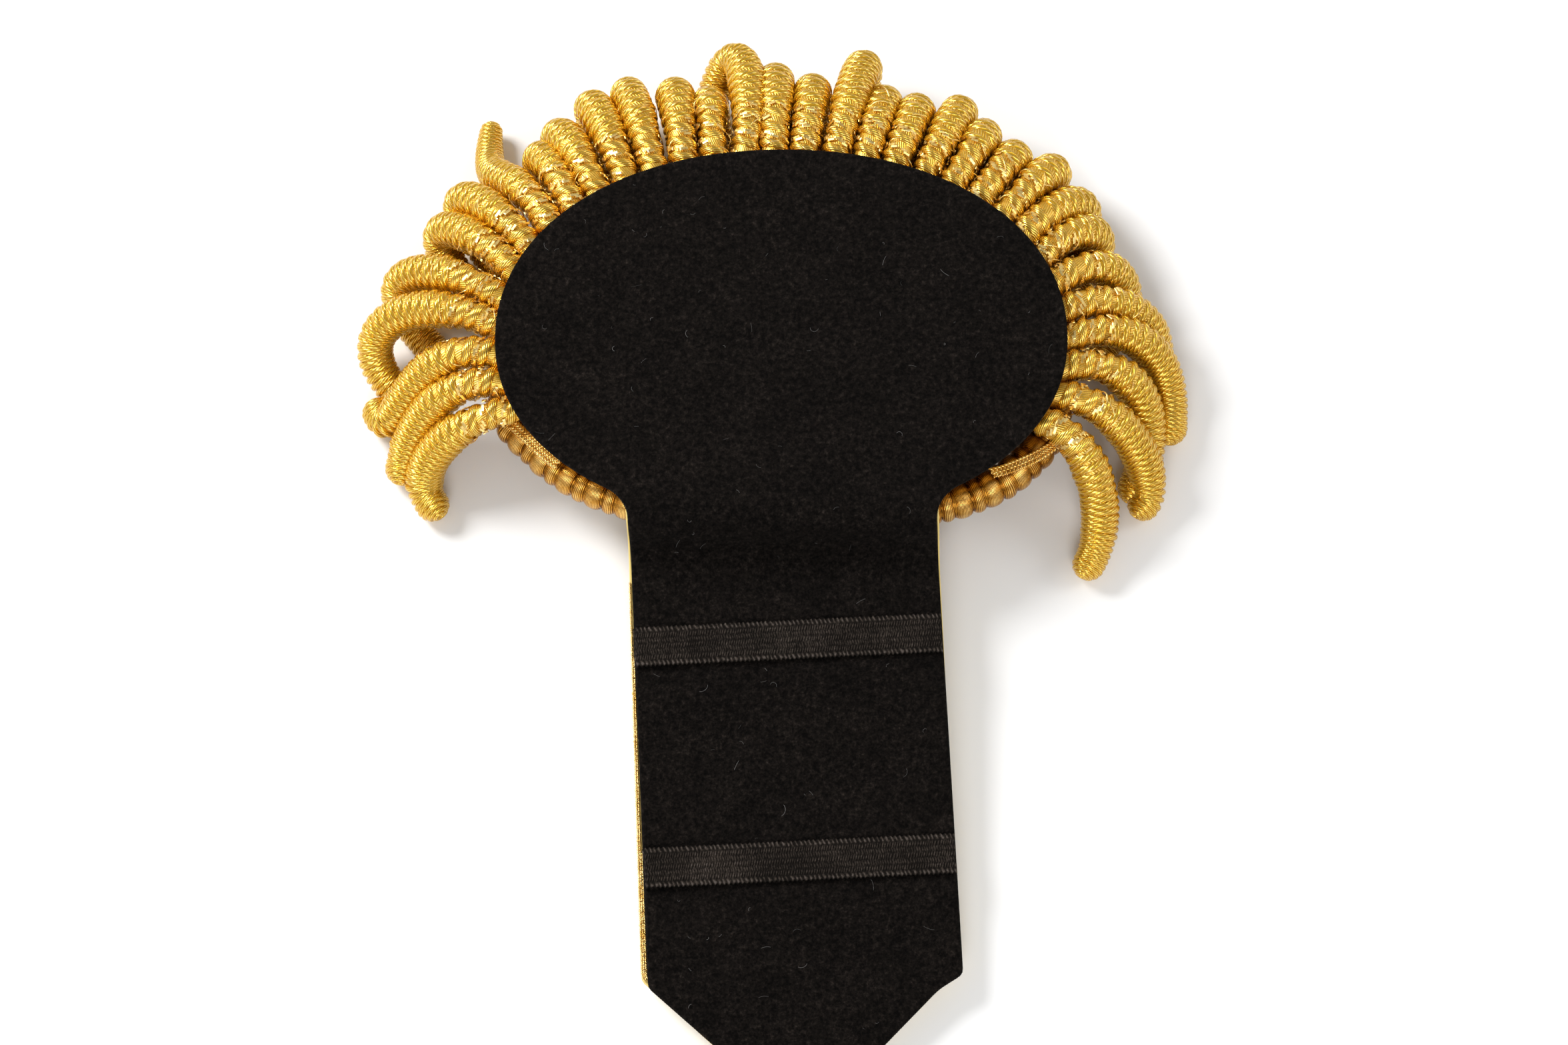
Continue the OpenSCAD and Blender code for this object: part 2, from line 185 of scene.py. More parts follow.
FELT_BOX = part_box("felt_backing")
MIDDLE = ((FELT_BOX[0][0] + FELT_BOX[1][0]) / 2 / MM, FELT_BOX[1][1] / MM - PAD_OUT)


# ---- shapes that several pieces follow ----

def placed(points):
    """Points in millimetres about the pad's middle, as points in metres in the shared frame."""
    points = np.array(points, dtype=float)
    points[..., :2] += MIDDLE
    return points * MM


def smooth(x):
    """A soft step from 0 to 1."""
    u = np.clip(x, 0, 1)
    return u * u * (3 - 2 * u)


def unit(v):
    """A vector, or each of many, at length one."""
    return v / np.linalg.norm(v, axis=-1, keepdims=True)


def run_of(line):
    """The length along a line to each of its points."""
    return np.r_[0, np.cumsum(np.linalg.norm(np.diff(line, axis=0), axis=1))]


def rim_point(angle, grow=0.0):
    """A point of the pad's oval at a rim angle in degrees."""
    a = math.radians(angle)
    c, s = math.cos(a), math.sin(a)
    e = 2 / PAD_FULLNESS
    deep = PAD_OUT if s > 0 else PAD_IN
    return np.array([
        (PAD_HALF_WIDTH + grow) * math.copysign(abs(c) ** e, c),
        (deep + grow) * math.copysign(abs(s) ** e, s),
    ])


def rim_out(angle):
    """The direction out of the pad at a rim angle."""
    step = unit(rim_point(angle - 0.5) - rim_point(angle + 0.5))
    return np.array([-step[1], step[0]])


def turned(x, y, angle):
    """A point turned about the neck."""
    c, s = math.cos(angle), math.sin(angle)
    y = y + NECK_PIVOT
    return np.array([x * c - y * s, x * s + y * c - NECK_PIVOT])


def arc(middle, first, last, steps=6):
    """Points of the shorter arc about a middle, from one point towards another."""
    start, stop = (math.atan2(p[1] - middle[1], p[0] - middle[0]) for p in (first, last))
    sweep = (stop - start + math.pi) % (2 * math.pi) - math.pi
    a = start + sweep * np.arange(steps + 1) / steps
    return list(middle + math.dist(first, middle) * np.stack([np.cos(a), np.sin(a)], axis=-1))


def rounded(before, corner, after, radius=CORNER):
    """Points of the arc that rounds a corner."""
    a, b = unit(before - corner), unit(after - corner)
    half = math.acos(np.clip(a @ b, -1, 1)) / 2
    reach = radius / math.tan(half)
    return arc(corner + unit(a + b) * radius / math.sin(half), corner + a * reach, corner + b * reach)


def neck_fillet(grow, line_point, line_out, low, high):
    """Rim angle where the neck's hollow starts, and the hollow's middle."""
    def miss(angle):
        return (rim_point(angle, grow) + rim_out(angle) * NECK_FILLET - line_point) @ line_out - NECK_FILLET

    for _ in range(60):
        middle = (low + high) / 2
        if (miss(low) > 0) == (miss(middle) > 0):
            low = middle
        else:
            high = middle
    return low, rim_point(low, grow) + rim_out(low) * NECK_FILLET


def plan_outline(grow=0.0, side=0.0, back=0.0, short=0.0):
    """The outline seen from above: the oval, the hollows at the neck and the strap with its point."""
    half, reach, turn = STRAP_WIDTH / 2 + side, short - STRAP_REACH, STRAP_TURN - back
    slant, slant_right = math.tan(POINT_ANGLE), math.tan(POINT_ANGLE_RIGHT)
    left_top, left_low, tip, right_knee, right_low, right_top = (turned(x, y, turn) for x, y in (
        (-half, -PAD_IN / 2),
        (-half, reach + (half + TIP_ASIDE) / slant),
        (TIP_ASIDE, reach),
        (half - SHOULDER_WIDTH, reach + (half - TIP_ASIDE - SHOULDER_WIDTH) / slant_right),
        (half, reach + (half - TIP_ASIDE) / slant_right - SHOULDER_DROP),
        (half, -PAD_IN / 2),
    ))
    way = unit(left_top - left_low)
    out = np.array([-way[1], way[0]])
    left_angle, left_middle = neck_fillet(grow, left_top, out, 200, 262)
    right_angle, right_middle = neck_fillet(grow, right_top, -out, -22, -82)
    points = [rim_point(a, grow) for a in np.linspace(right_angle, left_angle, 420)]
    return np.array([
        *points,
        *arc(left_middle, points[-1], left_middle - out * NECK_FILLET, 14)[1:],
        *rounded(left_top, left_low, tip),
        *rounded(left_low, tip, right_knee),
        *rounded(tip, right_knee, right_low, SHOULDER_ROUND),
        *rounded(right_knee, right_low, right_top),
        *arc(right_middle, right_middle + out * NECK_FILLET, points[0], 14)[:-1],
    ])


def board_outline():
    """The outline of the lace-covered board."""
    return plan_outline(-FELT_OVER, LACE_SIDE, LACE_TURN, BOARD_SHORT)


def side_view():
    """Rows of the felt's top seen from the side: length along it, Y, Z and how steeply it falls."""
    rows = [(s, -s, PAD_TOP, 0.0) for s in np.arange(-PAD_OUT - 10, FOLD_START, 1.0)]
    for a in np.linspace(0, FOLD_ANGLE, 25):
        rows.append((
            FOLD_START + FOLD_RADIUS * a, -FOLD_START - FOLD_RADIUS * math.sin(a),
            PAD_TOP - FOLD_RADIUS * (1 - math.cos(a)), a,
        ))
    length = rows[-1][0]
    for a in np.linspace(FOLD_ANGLE, STRAP_SLOPE, 25)[1:]:
        rows.append((
            length + FOLD_RADIUS * (FOLD_ANGLE - a),
            -FOLD_START - FOLD_RADIUS * (2 * math.sin(FOLD_ANGLE) - math.sin(a)),
            PAD_TOP - FOLD_RADIUS * (1 - 2 * math.cos(FOLD_ANGLE) + math.cos(a)), a,
        ))
    start = rows[-1]
    s, y, z, a = start
    rows += [(s + d, y - d * math.cos(a), z - d * math.sin(a), a) for d in range(2, STRAP_RUN + 1, 2)]
    return np.array(rows), start


SIDE, STRAP_START = side_view()


def on_sheet(x, s, deep):
    """Points in millimetres at a width and a length along the sheet, so deep under the felt's top."""
    y, z, a = (np.interp(s, SIDE[:, 0], SIDE[:, k]) for k in (1, 2, 3))
    return np.stack([x, y + deep * np.sin(a), z - deep * np.cos(a)], axis=-1)


def length_at(y):
    """Length along the sheet at a Y seen from above."""
    return np.interp(-y, -SIDE[:, 1], SIDE[:, 0])


def rolled_out(outline):
    """An outline seen from above, as it is on the flat sheet."""
    return np.stack([outline[:, 0], -length_at(outline[:, 1])], axis=-1)


def evenly(points, step):
    """A closed outline with its points at even steps."""
    ring = np.vstack([points, points[:1]])
    run = run_of(ring)
    keep = np.r_[True, np.diff(run) > 1e-9]
    at = np.linspace(0, run[-1], int(run[-1] / step), endpoint=False)
    return np.stack([np.interp(at, run[keep], ring[keep, i]) for i in range(2)], axis=-1)


def inset(outline, distance):
    """An outline that runs round to the left, moved inward."""
    step = unit(np.roll(outline, -1, axis=0) - np.roll(outline, 1, axis=0))
    return outline + np.stack([-step[:, 1], step[:, 0]], axis=-1) * distance


def area_of(outline):
    """The area inside an outline, negative where it runs round to the right."""
    x, y = outline[:, 0], outline[:, 1]
    return np.sum(x * np.roll(y, -1) - y * np.roll(x, -1)) / 2


def inside(outline, p):
    """Which of many points lie inside a closed outline."""
    x, y = p[:, 0], p[:, 1]
    found = np.zeros(len(p), dtype=bool)
    for a, b in zip(outline, np.roll(outline, -1, axis=0)):
        if a[1] != b[1]:
            cross = (a[1] > y) != (b[1] > y)
            found ^= cross & (x < a[0] + (y - a[1]) * (b[0] - a[0]) / (b[1] - a[1]))
    return found


def ripple(p, scale, seed):
    """Soft unevenness from a few crossing waves, from -1 to 1."""
    chance = np.random.default_rng(seed)
    total = np.zeros(len(p))
    for _ in range(7):
        way = chance.uniform(0, 2 * math.pi)
        size = scale * chance.uniform(0.6, 1.7)
        run = (p[:, 0] * math.cos(way) + p[:, 1] * math.sin(way)) / size
        total += np.sin(run * 2 * math.pi + chance.uniform(0, 6.3))
    return total / 3.2


# ---- meshes ----

def new_piece(name, points, faces, material, uv=None, smooth_faces=True):
    """An object from points in metres and faces, with one material and perhaps a UV map by point."""
    mesh = bpy.data.meshes.new(name)
    mesh.from_pydata([tuple(p) for p in points], [], faces)
    if uv is not None:
        layer = mesh.uv_layers.new(name="UVMap")
        index = np.zeros(len(mesh.loops), dtype=int)
        mesh.loops.foreach_get("vertex_index", index)
        layer.data.foreach_set("uv", np.asarray(uv, dtype=float)[index].ravel())
    mesh.polygons.foreach_set("use_smooth", [smooth_faces] * len(mesh.polygons))
    mesh.materials.append(material)
    mesh.validate()
    mesh.update()
    return linked(name, mesh)


def linked(name, data):
    """A new object in the scene."""
    obj = bpy.data.objects.new(name, data)
    bpy.context.scene.collection.objects.link(obj)
    return obj


def lay_attribute(mesh, name, values):
    """Stores a number or a direction on each of a mesh's points."""
    values = np.asarray(values, dtype=float)
    kind, key = ("FLOAT", "value") if values.ndim == 1 else ("FLOAT_VECTOR", "vector")
    mesh.attributes.new(name, kind, "POINT").data.foreach_set(key, values.ravel())


def finish_piece(obj, slot, *nodes):
    """The piece rides on the one body and stands for its solids; the slot is not used."""
    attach(obj, "root")
    if nodes:
        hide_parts(*nodes)
    return obj


def net_faces(rows, sides, closed=True):
    """Quads between rows of points, which close up into rings or not."""
    return [
        (i * sides + k, i * sides + n, (i + 1) * sides + n, (i + 1) * sides + k)
        for i in range(rows - 1)
        for k, n in [(k, (k + 1) % sides) for k in range(sides if closed else sides - 1)]
    ]


def sheet_mesh(outline, top, deep, soft, step):
    """Points, faces, UVs and flat outline of a sheet, whose underside lies as deep as its Y says."""
    ring = evenly(rolled_out(outline), EDGE_STEP)
    if area_of(ring) < 0:
        ring = ring[::-1]
    inner = inset(ring, soft)
    low, high = inner.min(axis=0), inner.max(axis=0)
    grid = np.array([
        (x, y)
        for k, y in enumerate(np.arange(low[1] + step / 2, high[1], step * 0.87))
        for x in np.arange(low[0] + step * (0.25 + 0.5 * (k % 2)), high[0], step)
    ])
    spots = np.vstack([inner, grid[inside(inset(ring, soft + step * 0.45), grid)]])
    count = len(inner)
    edges = [(k, (k + 1) % count) for k in range(count)]
    flat, _, tris, _, _, _ = delaunay_2d_cdt([Vector(p) for p in spots], edges, [], 0, 1e-5, False)
    if len(flat) != len(spots):
        raise RuntimeError("the sheet's net has lost points")
    flat = np.array([tuple(v) for v in flat])
    tris = np.array([t for t in tris if len(t) == 3])
    tris = tris[inside(inner, flat[tris].mean(axis=1))]
    a, b = flat[tris[:, 1]] - flat[tris[:, 0]], flat[tris[:, 2]] - flat[tris[:, 0]]
    tris = np.where((a[:, 0] * b[:, 1] < a[:, 1] * b[:, 0])[:, None], tris[:, ::-1], tris)

    def under(p):
        return deep(np.interp(-p[:, 1], SIDE[:, 0], SIDE[:, 1]))

    wave = 0.05 * ripple(flat, 16, 3)
    layers = [(flat, top + wave - wave.min() * 0.5)]
    curl = [(inset(ring, soft * (1 - math.sin(c))), soft * (1 - math.cos(c)) * 0.9) for c in
            (share * math.pi / 2 for share in EDGE_CURL)]
    layers += [(p, top + drop) for p, drop in curl]
    layers += [(p, under(p) - rise) for p, rise in reversed(curl)]
    layers.append((flat, under(flat)))
    starts = [0] + [len(flat) + k * count for k in range(len(layers) - 1)]
    faces = tris.tolist() + (tris[:, ::-1] + starts[-1]).tolist()
    faces += [(a + k, b + k, b + n, a + n) for a, b in zip(starts, starts[1:]) for k, n in edges]
    points = np.vstack([on_sheet(p[:, 0], -p[:, 1], depth) for p, depth in layers])
    return placed(points), faces, np.vstack([p for p, _ in layers]) * MM * 10, ring


def tube_mesh(rings, clockwise=False):
    """Points and faces of a tube with its ends closed by a point each.

    The rings run anticlockwise as seen along the tube, or clockwise, and the faces point outwards.
    """
    rows, sides = len(rings), len(rings[0])
    points = [p for r in rings for p in r] + [np.mean(rings[0], axis=0), np.mean(rings[-1], axis=0)]
    faces, first, base = net_faces(rows, sides), rows * sides, (rows - 1) * sides
    for k in range(sides):
        n = (k + 1) % sides
        faces += [(first, n, k), (first + 1, base + k, base + n)]
    return points, [f[1:] + f[:1] if clockwise else f[::-1] for f in faces]


# ---- paths ----

def along_line(line, run, s):
    """Points of a line at lengths along it."""
    return np.stack([np.interp(s, run, line[:, i]) for i in range(3)], axis=-1)


def line_frame(line, run, s):
    """Where a line is at lengths along it, with its directions ahead, aside and downward."""
    way = unit(along_line(line, run, s + 0.3) - along_line(line, run, s - 0.3))
    side = unit(np.cross(way, UPWARD))
    return along_line(line, run, s), way, side, np.cross(way, side)


def head_angles():
    """Rim angles of the bullions, evenly spread along the rim."""
    angles = np.linspace(FIRST_ANGLE, LAST_ANGLE, 1601)
    run = run_of(np.array([rim_point(a) for a in angles]))
    return np.interp(np.linspace(0, run[-1], len(BULLION_LIE)), run, angles)


HEADS = head_angles()


def bullion_line(i):
    """A bullion's middle line, which runs on past its tip, the length along it, and the bullion's length."""
    root, out = rim_point(HEADS[i]), rim_out(HEADS[i])
    aside = np.array([out[1], -out[0]])
    row = np.array(BULLION_LIE[i]) * BULLION_LENGTH / 100
    low = BULLION_RADIUS + row[6]
    p = [np.append(root + out * o + aside * s, z) for o, s, z in (
        (PLY_GAP + TAPE / 2 - FELT_OVER, 0, HEAD_Z),
        (row[0], row[1], HEAD_Z + CREST),
        (row[2], row[3], low),
        (row[4], row[5], low),
    )]
    t = np.linspace(0, 1, LINE_STEPS)[:, None]
    line = (1 - t) ** 3 * p[0] + 3 * (1 - t) ** 2 * t * p[1] + 3 * (1 - t) * t * t * p[2] + t ** 3 * p[3]
    line = np.vstack([line, line[-1] + unit(line[-1] - line[-2]) * np.linspace(0.1, 4, 40)[:, None]])
    run = run_of(line)
    return line, run, run[LINE_STEPS - 1]


def roll_point(angle):
    """The middle of the roll at a rim angle."""
    past, side = (angle - FIRST_ANGLE, 1) if angle > 90 else (LAST_ANGLE - angle, 2)
    lie = np.interp(past, [r[0] for r in ROLL_LIE], [r[side] for r in ROLL_LIE])
    return np.append(rim_point(angle) - rim_out(angle) * (ROLL_RADIUS * lie), ROLL_Z)


def path_mesh(name, paths):
    """Open paths as one mesh of edges. Each is (points in mm, {attribute: values})."""
    mesh = bpy.data.meshes.new(name)
    points, edges = [], []
    for line, _ in paths:
        edges += [(k, k + 1) for k in range(len(points), len(points) + len(line) - 1)]
        points += [tuple(p) for p in placed(line)]
    mesh.from_pydata(points, edges, [])
    for key in paths[0][1]:
        lay_attribute(mesh, key, np.concatenate([values[key] for _, values in paths]))
    return mesh


def point_mesh(name, rows):
    """Points as a mesh. Each row is (point in mm, rotation as a matrix, size in mm)."""
    mesh = bpy.data.meshes.new(name)
    mesh.from_pydata([tuple(placed(p)) for p, _, _ in rows], [], [])
    lay_attribute(mesh, "turned", [tuple(Matrix(m).to_euler("XYZ")) for _, m, _ in rows])
    lay_attribute(mesh, "size", np.array([s for _, _, s in rows]) * MM)
    return mesh


# ---- trees of nodes ----

class Term:
    """A node's output. Sums of terms and numbers add their own nodes to its net."""

    def __init__(self, net, socket):
        self.net, self.socket = net, socket

    def __add__(self, other):
        return self.net.math("ADD", self, other)

    def __sub__(self, other):
        return self.net.math("SUBTRACT", self, other)

    def __rsub__(self, other):
        return self.net.math("SUBTRACT", other, self)

    def __mul__(self, other):
        return self.net.math("MULTIPLY", self, other)

    def __truediv__(self, other):
        return self.net.math("DIVIDE", self, other)


class Net:
    """A tree of nodes. Each method adds a node and returns its output as a term."""

    def __init__(self, tree):
        self.tree = tree

    def fill(self, node, inputs):
        """Links or sets a node's inputs, by name or number."""
        for key, value in dict(inputs).items():
            if isinstance(value, Term):
                self.tree.links.new(value.socket, node.inputs[key])
            else:
                node.inputs[key].default_value = value

    def add(self, kind, inputs=(), output=0, **settings):
        node = self.tree.nodes.new(kind)
        for key, value in settings.items():
            setattr(node, key, value)
        self.fill(node, inputs)
        return Term(self, node.outputs[output])

    def math(self, operation, *terms):
        return self.add("ShaderNodeMath", enumerate(terms), operation=operation)

    def vector(self, operation, a, b=None):
        second = {} if b is None else {"Scale" if operation == "SCALE" else 1: b}
        return self.add("ShaderNodeVectorMath", {0: a, **second}, operation=operation)

    def span(self, value, low, high, to_low, to_high, **settings):
        """A value moved from one range into another."""
        return self.add("ShaderNodeMapRange", {
            "Value": value, "From Min": low, "From Max": high, "To Min": to_low, "To Max": to_high,
        }, **settings)

    def place(self, kind="Object"):
        return self.add("ShaderNodeTexCoord", output=kind)

    def parts(self, vector):
        node = self.tree.nodes.new("ShaderNodeSeparateXYZ")
        self.fill(node, {0: vector})
        return [Term(self, socket) for socket in node.outputs]

    def noise(self, scale, detail, roughness):
        return self.add("ShaderNodeTexNoise", {
            "Vector": self.place(), "Scale": scale, "Detail": detail, "Roughness": roughness,
        })

    def bump(self, height, strength, distance, below=None):
        under = {} if below is None else {"Normal": below}
        return self.add("ShaderNodeBump", {
            "Height": height, "Strength": strength, "Distance": distance, **under,
        })

    def normal(self):
        return self.add("ShaderNodeNewGeometry", output="Normal")

    def attribute(self, name, output="Fac"):
        return self.add("ShaderNodeAttribute", output=output, attribute_name=name)

    def ramp(self, factor, *stops):
        node = self.tree.nodes.new("ShaderNodeValToRGB")
        self.fill(node, {"Fac": factor})
        bar = node.color_ramp.elements
        while len(bar) < len(stops):
            bar.new(0.5)
        for element, (at, colour) in zip(bar, stops):
            element.position = at
            element.color = (*colour, 1.0)
        return Term(self, node.outputs["Color"])

    def named(self, name, kind="FLOAT"):
        """An attribute in a tree of geometry nodes."""
        node = self.tree.nodes.new("GeometryNodeInputNamedAttribute")
        node.data_type = kind
        self.fill(node, {"Name": name})
        return Term(self, next(s for s in node.outputs if s.name == "Attribute" and s.enabled))

    def stored(self, geometry, name, value):
        """The geometry with a direction stored on its points."""
        return self.add("GeometryNodeStoreNamedAttribute", {
            "Geometry": geometry, "Name": name, "Value": value,
        }, data_type="FLOAT_VECTOR", domain="POINT")


def start_tree(name, inputs):
    """A net of a new tree of geometry nodes, and the tree's inputs."""
    tree = bpy.data.node_groups.new(name, "GeometryNodeTree")
    for label, kind in {"Geometry": "Geometry", **inputs}.items():
        tree.interface.new_socket(name=label, in_out="INPUT", socket_type="NodeSocket" + kind)
    tree.interface.new_socket(name="Geometry", in_out="OUTPUT", socket_type="NodeSocketGeometry")
    net, start = Net(tree), tree.nodes.new("NodeGroupInput")
    return net, {socket.name: Term(net, socket) for socket in start.outputs}


def end_tree(net, geometry, material):
    """The finished tree, whose geometry is real and has its material."""
    real = net.add("GeometryNodeRealizeInstances", {"Geometry": geometry})
    done = net.add("GeometryNodeSetMaterial", {"Geometry": real, "Material": material})
    net.fill(net.tree.nodes.new("NodeGroupOutput"), {0: done})
    return net.tree


def coiled_cord_tree(name):
    """Winds a ridged cord round each path, from the path's own attributes: coil and cord radius, and turn."""
    net, given = start_tree(name, {"Ridges": "Int", "Ridge depth": "Float", "Material": "Material"})
    normal = net.add("GeometryNodeInputNormal", output="Normal")
    aside = net.vector("CROSS_PRODUCT", net.add("GeometryNodeInputTangent"), normal)
    turn = net.named("turn")
    way = net.vector(
        "ADD", net.vector("SCALE", normal, net.math("COSINE", turn)),
        net.vector("SCALE", aside, net.math("SINE", turn)))
    wound = net.add("GeometryNodeSetPosition", {
        "Geometry": net.add("GeometryNodeMeshToCurve", {"Mesh": given["Geometry"]}),
        "Offset": net.vector("SCALE", way, net.named("coil")),
    })
    wound = net.stored(wound, "way", net.add("GeometryNodeInputTangent"))
    wound = net.add("GeometryNodeSetCurveRadius", {"Curve": wound, "Radius": net.named("cord")})
    star = net.add("GeometryNodeCurveStar", {
        "Points": given["Ridges"], "Inner Radius": 1.0 - given["Ridge depth"], "Outer Radius": 1.0,
    })
    sweep = net.add("GeometryNodeCurveToMesh", {
        "Curve": wound, "Profile Curve": net.stored(star, "round", net.add("GeometryNodeInputPosition")),
        "Scale": net.named("cord"), "Fill Caps": True,
    })
    return end_tree(net, net.add("GeometryNodeSetShadeSmooth", {"Geometry": sweep}), given["Material"])


def scattered_tree(name):
    """Sets a small piece on each point, turned and sized by the point's own attributes."""
    net, given = start_tree(name, {"Piece": "Object", "Material": "Material"})
    return end_tree(net, net.add("GeometryNodeInstanceOnPoints", {
        "Points": net.add("GeometryNodeMeshToPoints", {"Mesh": given["Geometry"]}),
        "Instance": net.add("GeometryNodeObjectInfo", {"Object": given["Piece"]}, output="Geometry"),
        "Rotation": net.add("FunctionNodeEulerToRotation", {0: net.named("turned", "FLOAT_VECTOR")}),
        "Scale": net.named("size", "FLOAT_VECTOR"),
    }), given["Material"])


def put_once(name, maker, *args):
    """A material or tree that is made the first time it is asked for."""
    return bpy.data.materials.get(name) or bpy.data.node_groups.get(name) or maker(name, *args)


def grown(name, mesh, tree, values, slot, *nodes):
    """Runs a tree on a mesh and finishes the result as a plain object."""
    source = linked(name + "_paths", mesh)
    modifier = source.modifiers.new("nodes", "NODES")
    modifier.node_group = tree
    for item in tree.interface.items_tree:
        if item.item_type == "SOCKET" and item.in_out == "INPUT" and item.name in values:
            modifier[item.identifier] = values[item.name]
    graph = bpy.context.evaluated_depsgraph_get()
    graph.update()
    result = bpy.data.meshes.new_from_object(source.evaluated_get(graph))
    bpy.data.objects.remove(source)
    bpy.data.meshes.remove(mesh)
    result.name = name
    if not len(result.polygons):
        raise RuntimeError(name + " came out empty")
    return finish_piece(linked(name, result), slot, *nodes)


def coiled(name, paths, ridges, depth, material, slot, *nodes):
    """Cords wound along paths, as one finished piece."""
    return grown(name, path_mesh(name, paths), put_once("Coiled cord", coiled_cord_tree), {
        "Ridges": ridges, "Ridge depth": depth, "Material": material,
    }, slot, *nodes)


def scattered(name, rows, piece, material, slot, *nodes):
    """Copies of a small piece, one for each row, as one finished piece in the small one's stead."""
    obj = grown(name, point_mesh(name, rows), put_once("Pieces on points", scattered_tree), {
        "Piece": piece, "Material": material,
    }, slot, *nodes)
    bpy.data.objects.remove(piece)
    return obj


# ---- materials ----

def start_material(name):
    """A new material with its net and its shader."""
    material = bpy.data.materials.new(name)
    material.use_nodes = True
    net = Net(material.node_tree)
    return material, net, next(n for n in net.tree.nodes if n.type == "BSDF_PRINCIPLED")


def felt_finish(name, look):
    """Black felt: a dense wool nap with short paler fibres over a faint weave, cloudier in patches."""
    material, net, shader = start_material(name)
    nap, tuft, cloud = net.noise(1900.0, 4.0, 0.75), net.noise(800.0, 3.0, 0.65), net.noise(110.0, 3.0, 0.55)
    dark = np.array(look.felt_colour)
    net.fill(shader, {
        "Base Color": net.ramp(
            nap * 0.5 + tuft * 0.4 + cloud * 0.1,
            (0.42, dark * 0.2), (0.53, dark), (0.6, dark * 2.2), (0.7, dark * 6)),
        "Roughness": 0.95, "Specular IOR Level": 0.05,
        "Sheen Weight": 0.02, "Sheen Roughness": 0.5, "Sheen Tint": (0.66, 0.58, 0.52, 1.0),
        "Normal": net.bump(nap, 0.9, 0.0004, net.bump(tuft, 0.6, 0.0005)),
    })
    return material


def across_wire(net, phase, relief, width=1.0):
    """How far a place lies from its wire's crest, as a share of the wire's half width, and how steep it is."""
    place = (net.math("FRACT", phase) * 2.0 - 1.0) / width
    far = net.math("ABSOLUTE", place)
    return far, place * (net.math("LESS_THAN", far, 1.0) * relief)


def wire_normal(net, side, aside):
    """The normal of round wires laid side by side, leant towards the direction across them."""
    level = net.vector("SCALE", net.normal(), net.math("SQRT", 1.0 - side * side))
    leant = net.vector("SCALE", net.vector("NORMALIZE", aside), side)
    return net.vector("NORMALIZE", net.vector("ADD", level, leant))


def twisted_wires(net, wires, relief):
    """Wires that wind slantwise round a cord, close in the head and apart in the body: place and normal."""
    share = wires / (2 * math.pi)
    x, y, _ = net.parts(net.attribute("round", "Vector"))
    lay, way = net.attribute("lay"), net.attribute("way", "Vector")
    close = net.math("GREATER_THAN", lay, CLOSE_LAY * MM)
    phase = (net.math("ARCTAN2", y, x) * share + net.attribute("run")) * (close + 1.0)
    far, side = across_wire(net, phase, relief, net.span(close, 0.0, 1.0, BODY_WIRE, HEAD_WIRE))
    about = net.vector("CROSS_PRODUCT", way, net.normal())
    steep = lay / net.attribute("cord") * share
    return far, wire_normal(net, side, net.vector("ADD", net.vector("SCALE", about, steep), way))


def gold_finish(name, deep, bright, roughness, wires=0, relief=0.0):
    """Gilt wire: pale gold on its crests, deep gold in its hollows as painted shade, and fine wires round a cord.
    """
    material, net, shader = start_material(name)
    grain, glint = net.noise(420.0, 3.0, 0.6), net.noise(1500.0, 2.0, 0.5)
    if wires:
        far, leant = twisted_wires(net, wires, relief)
        tone = far * 0.5 + (0.5 - grain) * 0.3
        look = {
            # Painted shade: the colour deepens away from each wire's crest; between the wires the deep orange is
            # partly the core's own colour and partly painted shade
            "Base Color": net.ramp(tone, (0.1, bright), (0.42, deep), (0.56, (0.55, 0.30, 0.012))),
            "Metallic": net.span(tone, 0.45, 0.58, 1.0, 0.4),
            "Normal": net.bump(glint, 0.15, 0.00006, leant),
        }
    else:
        look = {
            "Base Color": net.ramp(grain, (0.3, deep), (0.72, bright)), "Metallic": 1.0,
            "Normal": net.bump(glint, 0.2, 0.00008),
        }
    net.fill(shader, {**look, "Roughness": net.span(glint, 0.3, 0.7, roughness * 0.7, roughness * 1.4)})
    return material


def lace_finish(name):
    """Gold lace: ribs along the strap crossed by a fine weft in a lozenge pattern, darker in its hollows as
    painted shade.
    """
    material, net, shader = start_material(name)
    x, y, _ = net.parts(net.place())

    def wave(term, pitch):
        return net.math("SINE", term * (2 * math.pi / pitch))

    left, right = (net.math("ABSOLUTE", wave(slope, 0.009)) for slope in (x + y, x - y))
    height = wave(y, 0.0009) * wave(x, 0.0012) * 0.5 + net.math("MAXIMUM", left, right) * 0.5
    net.fill(shader, {
        # Painted shade: the colour follows the weave's height and darkens where it is low
        "Base Color": net.ramp(
            height, (0.1, (0.26, 0.10, 0.008)), (0.5, (0.56, 0.29, 0.035)), (0.9, (0.84, 0.53, 0.13))),
        "Metallic": 0.95, "Roughness": 0.34, "Normal": net.bump(height, 0.8, 0.0003),
    })
    return material


def wire_roll_finish(name):
    """Fine gilt wires wound round the roll, fanned a little within each wrap, with painted shade in its grooves,
    on the wires' sides and on its side under the felt.
    """
    material, net, shader = start_material(name)
    far, side = across_wire(net, net.attribute("phase"), 0.85)
    # Painted shade: darker away from each wire's crest, in the grooves between wraps and on the roll's side under
    # the felt
    low = far * 0.5 + (0.5 - net.noise(500.0, 3.0, 0.6)) * 0.8 + (1.0 - net.attribute("crest")) * 0.6
    net.fill(shader, {
        "Base Color": net.ramp(
            low, (0.05, (0.95, 0.62, 0.20)), (0.35, (0.58, 0.27, 0.035)), (0.9, (0.17, 0.055, 0.004))),
        "Metallic": 1.0, "Roughness": 0.25, "Normal": wire_normal(net, side, net.attribute("way", "Vector")),
    })
    return material


